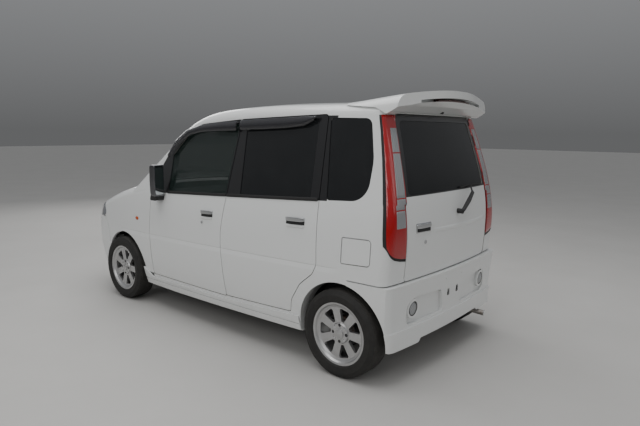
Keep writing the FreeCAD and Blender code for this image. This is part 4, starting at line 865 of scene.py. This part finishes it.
for wheel, hub in HUBS.items():
    dress(f"rim_{wheel}", silver)
    sign = 1 if hub.y > 0 else -1
    rim_skin = skin_of(f"rim_{wheel}")
    for count in range(4):
        angle = math.radians(45 + 90 * count)
        seat_y = rim_face(rim_skin, hub, sign, NUT_CIRCLE + 0.012, angle)
        deselect()
        bpy.ops.mesh.primitive_cylinder_add(vertices=6, radius=NUT_RADIUS, depth=0.020)
        nut = bpy.context.object
        nut.name = f"wheel_nut_{wheel}_{count + 1}"
        bpy.ops.object.mode_set(mode="EDIT")
        bpy.ops.mesh.select_all(action="SELECT")
        bpy.ops.mesh.bevel(offset=0.002, segments=2)
        bpy.ops.object.mode_set(mode="OBJECT")
        spot = hub + Vector((NUT_CIRCLE * math.cos(angle), 0, NUT_CIRCLE * math.sin(angle)))
        spot.y = seat_y - sign * 0.002
        nut.matrix_world = Matrix.Translation(spot) @ outward(sign)
        complete(nut, chrome, f"wheel_{wheel}")
    cap = bead(f"wheel_cap_{wheel}", CAP_RADIUS, 40, lambda x, y, z: (x, y, z * (0.28 if z > 0 else 0.35)))
    spot = (hub.x, rim_face(rim_skin, hub, sign, 0.033, 0.0) + sign * 0.002, hub.z)
    cap.matrix_world = Matrix.Translation(spot) @ outward(sign)
    complete(cap, silver, f"wheel_{wheel}")

# Running gear: black painted steel arms and axle, a cast light alloy engine,
# a dull steel exhaust, a moulded tank and a stone guard under the floor.
RUST = (0.14, 0.075, 0.04, 1)


def metal(name, colour, rough, metallic, rust):
    """painted or bare metal with random patches of rust and a cast grain"""
    made, tree, shader = new_material(name, {"Metallic": metallic, "Specular IOR Level": 0.4})
    place, x, y, z = separate(tree)
    patch = noise(tree, place, 11, 8, 0.7)
    mask = calc(tree, "MULTIPLY", ramp(tree, patch, 0.52, 0.70), rust)
    feed(shader, "Base Color", blend_colours(tree, mask, colour, RUST))
    feed(shader, "Roughness", calc(tree, "MULTIPLY_ADD", patch, 0.3, rough - 0.1))
    cast = noise(tree, place, 240, 4)
    relief(tree, shader, cast, 0.0003)
    return made


gear_black = metal("chassis_black", (0.020, 0.020, 0.021, 1), 0.55, 0.0, 0.5)
cast_alloy = metal("cast_alloy", (0.34, 0.34, 0.34, 1), 0.5, 0.8, 0.1)
pipe_steel = metal("exhaust_steel", (0.30, 0.28, 0.26, 1), 0.42, 0.9, 0.75)
stone_guard = moulded("stone_guard", (0.020, 0.020, 0.020, 1), 0.75, 500.0, 0.0002)
for node, material in (
    ("knuckle_left", gear_black), ("knuckle_right", gear_black), ("front_suspension", gear_black),
    ("rear_axle", gear_black), ("engine_block", cast_alloy), ("exhaust", pipe_steel),
    ("fuel_tank", moulded_black), ("underbody", stone_guard),
):
    dress(node, material)

# Door mirrors: a tall smoke-chromed shell on a black foot, with a flat glass
# that looks back, carried by the front doors.
HEAD_PLACE, HEAD_SIZE = Vector((0.462, 0.7485, 1.062)), Vector((0.072, 0.094, 0.242))
GLASS_HALF_WIDTH, GLASS_HALF_HEIGHT = 0.037, 0.102
STALK_SIZE, STALK_PLACE = (0.052, 0.05, 0.045), (0.476, 0.738, 0.942)


def mirror_spot(u, v):
    u, v = 2 * u - 1, 2 * v - 1
    across = u * GLASS_HALF_WIDTH * (1 - 0.10 * abs(v) ** 6)
    return -0.0008 * (1 - u * u), across, v * GLASS_HALF_HEIGHT * (1 - 0.06 * abs(u) ** 6)


silver_glass, tree, shader = new_material("mirror_silver", {"Metallic": 1.0})
place, x, y, z = separate(tree)
smear = noise(tree, place, 12, 4)
feed(shader, "Roughness", calc(tree, "MULTIPLY", smear, 0.04))
tint = blend_colours(tree, smear, (0.62, 0.66, 0.68, 1), (0.70, 0.73, 0.74, 1))
feed(shader, "Base Color", tint)
smoke_chrome = metal("smoke_chrome", (0.20, 0.20, 0.21, 1), 0.18, 1.0, 0.0)
for side, sign in SIDES:
    dress(f"mirror_{side}", moulded_black)
    body = f"door_front_{side}"
    centre = Vector((HEAD_PLACE.x, sign * HEAD_PLACE.y, HEAD_PLACE.z))
    head = block(f"mirror_head_{side}", HEAD_SIZE, 7)
    for vertex in head.data.vertices:
        u, v, w = (vertex.co[i] / (HEAD_SIZE[i] / 2) for i in range(3))
        nose = max(0, u) ** 2
        vertex.co.y *= (1 - 0.10 * max(0, -w) - 0.06 * max(0, w)) * (1 - 0.10 * nose)
        vertex.co.z *= 1 - 0.12 * nose
    finish_with(head, "BEVEL", width=0.012, segments=4, limit_method="ANGLE")
    finish_with(head, "SUBSURF", levels=1, render_levels=1)
    head.location = centre
    complete(head, smoke_chrome, body)
    glass = thin_shell(f"mirror_glass_{side}", (14, 24), mirror_spot, 0, -1, 0.003, 0)
    glass.location = centre + Vector((-HEAD_SIZE.x / 2 - 0.0022, 0, -0.004))
    complete(glass, silver_glass, body)
    stalk = block(f"mirror_stalk_{side}", STALK_SIZE, 3)
    finish_with(stalk, "BEVEL", width=0.010, segments=3, limit_method="ANGLE")
    stalk.location = (STALK_PLACE[0], sign * STALK_PLACE[1], STALK_PLACE[2])
    complete(stalk, moulded_black, body)

# Side indicators: small amber lenses on the front fenders.
BLINKER_X, BLINKER_Z = 0.833, 0.722
fender = skin_of("front_fenders")
for side, sign in SIDES:
    blinker = bead(f"side_indicator_{side}", 0.020, 32, lambda x, y, z: (x * 1.25, y * 0.75, z * 0.35))
    spot = fender.ray_cast(Vector((BLINKER_X, sign * 1.2, BLINKER_Z)), Vector((0, -sign, 0)))[0]
    blinker.matrix_world = Matrix.Translation((BLINKER_X, spot.y, BLINKER_Z)) @ outward(sign)
    complete(blinker, amber_lens, "root")

# Headlamps, grille and front wipers: clear lens units whose reflectors are a
# painted highlight, a black slatted grille with one bright bar, and black wiper arms.
BULB_Y, BULB_Z = 0.53, 0.728
painted_glint_lens, tree, shader = new_material("headlamp_lens_painted_glint", {
    "Specular IOR Level": 0.6, "Coat Weight": 1.0, "Coat Roughness": 0.02, "Metallic": 0.35,
})
place, x, y, z = separate(tree)
near_bulb = calc(tree, "SUBTRACT", calc(tree, "ABSOLUTE", y), BULB_Y)
bowl = calc(tree, "POWER", calc(tree, "SUBTRACT", z, BULB_Z), 2.0)
bowl = calc(tree, "SQRT", calc(tree, "ADD", calc(tree, "MULTIPLY", near_bulb, near_bulb), bowl))
rings = calc(tree, "SINE", calc(tree, "MULTIPLY", bowl, 260))
# Painted highlight: the lens colour is bright round the bulb, darkens outward and has darker rings, in place
# of lit reflectors.
depth = ramp(tree, bowl, 0.012, 0.085)
tint = blend_colours(tree, depth, (0.82, 0.83, 0.84, 1), (0.26, 0.27, 0.29, 1))
tint = blend_colours(tree, calc(tree, "MULTIPLY_ADD", rings, 0.12, 0.12), tint, (0.10, 0.10, 0.11, 1))
feed(shader, "Base Color", tint)
feed(shader, "Roughness", calc(tree, "MULTIPLY_ADD", depth, 0.1, 0.05))
relief(tree, shader, calc(tree, "SINE", calc(tree, "MULTIPLY", y, 420)), 0.0005)
dress("headlamps", painted_glint_lens)
dress("grille", moulded_black)
nose_skin = skin_of("grille", "front_bumper", "bonnet")
BROW_WIDTH, BROW_FOOT, BROW_HEIGHT = 0.66, 0.722, 0.014


def brow_spot(u, v):
    y = (u - 0.5) * BROW_WIDTH
    spot = nose_skin.ray_cast(Vector((2.4, y, BROW_FOOT + BROW_HEIGHT / 2)), Vector((-1, 0, 0)))[0]
    x = spot.x if spot else 1.65
    return x + 0.002 + 0.004 * (1 - (2 * v - 1) ** 2), y, BROW_FOOT + BROW_HEIGHT * v


complete(thin_shell("grille_bar", (60, 4), brow_spot, 0, 1, 0.004, 0), chrome, "root")
screen_skin = skin_of("windscreen", "cowl_panel")


def on_screen(x, y, lift):
    """point of the windscreen over a place in plan, lifted off it"""
    spot = screen_skin.ray_cast(Vector((x, y, 2.2)), Vector((0, 0, -1)))[0]
    return spot + Vector((0.8, 0, 0.6)) * lift if spot else Vector((x, y, 0.99))


def tube(name, points, radius):
    """round bar through points, closed at both ends"""
    curve = bpy.data.curves.new(name, "CURVE")
    curve.dimensions = "3D"
    line = curve.splines.new("POLY")
    line.points.add(len(points) - 1)
    for spot, point in zip(points, line.points):
        point.co = (*spot, 1)
    curve.bevel_depth = radius
    curve.bevel_resolution = 3
    curve.use_fill_caps = True
    made = bpy.data.objects.new(name, curve)
    bpy.context.collection.objects.link(made)
    deselect()
    made.select_set(True)
    bpy.context.view_layer.objects.active = made
    bpy.ops.object.convert(target="MESH")
    made = bpy.context.object
    bpy.ops.object.mode_set(mode="EDIT")
    bpy.ops.mesh.select_all(action="SELECT")
    bpy.ops.mesh.remove_doubles(threshold=0.00001)
    bpy.ops.mesh.normals_make_consistent(inside=False)
    bpy.ops.object.mode_set(mode="OBJECT")
    return made


for name, root_y, tip_y in (("right", -0.10, -0.52), ("left", 0.42, -0.02)):
    half_y = (root_y + tip_y) / 2
    arm = ((0.985, root_y, 0.012), (0.95, root_y - 0.05, 0.016), (0.925, half_y, 0.018))
    blade = ((0.945, root_y - 0.01, 0.010), (0.925, half_y, 0.010), (0.915, tip_y, 0.010))
    complete(tube(f"wiper_arm_{name}", [on_screen(*spot) for spot in arm], 0.0055), moulded_black, "root")
    complete(tube(f"wiper_blade_{name}", [on_screen(*spot) for spot in blade], 0.0045), seal_rubber, "root")

# Rear wiper blade: a rubber blade carried by the arm's end, parked along the
# foot of the back glass, and the moulded cover of the arm.
BLADE = [(-0.10, 1.103), (-0.20, 1.106), (-0.32, 1.105), (-0.44, 1.102)]
ARM = [(-1.694, -0.047, 0.958), (-1.698, -0.060, 0.968), (-1.700, -0.125, 1.016), (-1.690, -0.19, 1.066)]
blade = [(behind(tail_skin, y, z) - 0.010, y, z) for y, z in BLADE]
complete(tube("rear_wiper_blade", blade, 0.0050), seal_rubber, "door_back")
link = [(-1.687, -0.19, 1.070), (behind(tail_skin, -0.25, 1.104) - 0.016, -0.25, 1.102)]
complete(tube("rear_wiper_link", link, 0.0055), moulded_black, "door_back")
complete(tube("rear_wiper_cover", ARM, 0.0105), moulded_black, "door_back")

# Exhaust end: a bright rolled lip round the mouth of the tail pipe.
PIPE_END, PIPE_START = Vector((-1.690, -0.470, 0.182)), Vector((-1.480, -0.400, 0.220))
mouth = hoop("exhaust_mouth", 0.0205, 0.0024, (48, 12))
turn = (PIPE_END - PIPE_START).to_track_quat("Z", "Y").to_matrix().to_4x4()
mouth.matrix_world = Matrix.Translation(PIPE_END) @ turn
complete(mouth, chrome, "root")

# Seats: foam pads under woven grey cloth, with raised side bolsters and sewn
# channels across the middle. They stand for the plain seats of the frame.
SEAT_Y, BACK_LEAN, CUSHION_LEAN = 0.325, math.radians(-112), math.radians(-3)
CUSHION_SEAMS, BACK_SEAMS = (-0.45, -0.1, 0.25), (-0.35, 0.0, 0.35)
cloth, tree, shader = new_material("seat_cloth", {
    "Specular IOR Level": 0.2, "Sheen Weight": 0.25, "Sheen Roughness": 0.5,
})
place, x, y, z = separate(tree)
warp = calc(tree, "SINE", calc(tree, "MULTIPLY", y, 2600))
weft = calc(tree, "SINE", calc(tree, "MULTIPLY", calc(tree, "ADD", x, z), 2600))
weave = calc(tree, "MULTIPLY_ADD", calc(tree, "MULTIPLY", warp, weft), 0.5, 0.5)
fade = noise(tree, place, 5, 6)
panel = calc(tree, "ABSOLUTE", calc(tree, "SUBTRACT", calc(tree, "ABSOLUTE", y), SEAT_Y))
panel = calc(tree, "LESS_THAN", panel, 0.150)
yarn = blend_colours(tree, panel, (0.085, 0.085, 0.09, 1), (0.15, 0.15, 0.155, 1))
yarn = blend_colours(tree, calc(tree, "MULTIPLY", weave, 0.5), yarn, (0.05, 0.05, 0.055, 1))
yarn = blend_colours(tree, calc(tree, "MULTIPLY", fade, 0.2), yarn, (0.22, 0.22, 0.22, 1))
feed(shader, "Base Color", yarn)
feed(shader, "Roughness", calc(tree, "MULTIPLY_ADD", weave, 0.1, 0.82))
relief(tree, shader, weave, 0.0006)


def valley(distance):
    """depth share of a sewn seam at a distance from it"""
    return math.exp(-((distance / 0.035) ** 2))


def shoulder(u, flat):
    """height share of a pad, which falls off past its flat middle"""
    return math.sqrt(max(0.0, 1 - 0.55 * max(0, abs(u) - flat) ** 2 / (1 - flat) ** 2))


def crowned(name, size, centre, lean, seams=(), bolster=0.0, cuts=15):
    """pad with a crowned top, sides that pull in and sewn channels"""
    piece = block(name, (2, 2, 2), cuts)
    for vertex in piece.data.vertices:
        u, v, w = vertex.co
        height = w * shoulder(u, 0.55) * shoulder(v, 0.65)
        if w > 0:
            height -= 0.10 * max(abs(u), abs(v)) ** 4
            height += bolster * max(0, abs(v) - 0.52) * (1 - 0.6 * abs(u)) * 2
            if abs(v) < 0.6:
                height -= 0.16 * sum(valley(u - share) for share in seams)
            if bolster:
                height -= 0.14 * valley(abs(v) - 0.60)
        pull_u = 1 - 0.035 * (1 - v * v) - 0.03 * (1 - abs(w))
        pull_v = 1 - 0.030 * (1 - u * u) - 0.02 * (1 - abs(w))
        vertex.co = (u * pull_u * size[0] / 2, v * pull_v * size[1] / 2, height * size[2] / 2)
    finish_with(piece, "SUBSURF", levels=1, render_levels=1)
    piece.matrix_world = Matrix.Translation(centre) @ Matrix.Rotation(lean, 4, "Y")
    return piece


def pad(*shape):
    """crowned pad in seat cloth"""
    piece = complete(crowned(*shape), cloth, "root")
    return piece


for side, sign in SIDES:
    y = sign * SEAT_Y
    name = f"front_cushion_{side}"
    cushion = pad(name, (0.50, 0.48, 0.13), (0.245, y, 0.560), CUSHION_LEAN, CUSHION_SEAMS, 0.5)
    pad(f"front_seat_base_{side}", (0.36, 0.44, 0.17), (0.190, y, 0.415), 0.0)
    pad(f"front_backrest_{side}", (0.66, 0.47, 0.11), (-0.108, y, 0.905), BACK_LEAN, BACK_SEAMS, 0.6)
    pad(f"front_headrest_{side}", (0.17, 0.255, 0.085), (-0.245, y, 1.358), BACK_LEAN)
    if sign == LEFT:
        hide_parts("front_seats")
    for end, shift in (("in", -0.045), ("out", 0.045)):
        post = [(-0.222, y + shift, 1.20), (-0.240, y + shift, 1.32)]
        complete(tube(f"front_headrest_post_{side}_{end}", post, 0.006), chrome, "root")
cushion = pad("rear_cushion", (0.50, 1.02, 0.13), (-0.675, 0, 0.560), CUSHION_LEAN, CUSHION_SEAMS, 0.3, 21)
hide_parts("rear_seat")
pad("rear_seat_base", (0.36, 0.98, 0.17), (-0.730, 0, 0.415), 0.0)
pad("rear_backrest", (0.66, 1.01, 0.11), (-1.028, 0, 0.905), BACK_LEAN, BACK_SEAMS, 0.3, 21)
pad("rear_headrest", (0.17, 0.255, 0.085), (-1.165, 0, 1.358), BACK_LEAN)

# Dashboard: a grained grey moulding with a hooded dial binnacle, air vents and
# a radio panel without any lettering, and a mirror on the windscreen.
dash_grey = moulded("dash_grey", (0.055, 0.056, 0.060, 1), 0.6, 700.0, 0.00012)
dial_black = moulded("dial_black", (0.012, 0.012, 0.013, 1), 0.25, 300.0, 0.00001)
dress("dashboard", dash_grey)
for name, spot, size, material in (
    ("dial_hood", (0.655, -0.34, 0.945), (0.15, 0.34, 0.060), dash_grey),
    ("radio_panel", (0.594, 0.0, 0.820), (0.016, 0.20, 0.130), dial_black),
    ("air_vent_centre", (0.602, 0.0, 0.897), (0.016, 0.24, 0.032), dial_black),
    ("air_vent_left", (0.600, 0.47, 0.868), (0.014, 0.10, 0.060), dial_black),
    ("air_vent_right", (0.600, -0.50, 0.868), (0.014, 0.08, 0.060), dial_black),
):
    fitting = block(name, size, 5)
    for vertex in fitting.data.vertices:
        if name.startswith("air_vent") and round(vertex.co.z * 1000) % 2:
            vertex.co.x += 0.002
    finish_with(fitting, "BEVEL", width=0.004, segments=3, limit_method="ANGLE")
    fitting.location = spot
    complete(fitting, material, "root")
inner_mirror = crowned("inner_mirror", (0.065, 0.22, 0.03), (0.495, 0.0, 1.43), math.radians(80))
complete(inner_mirror, moulded_black, "root")
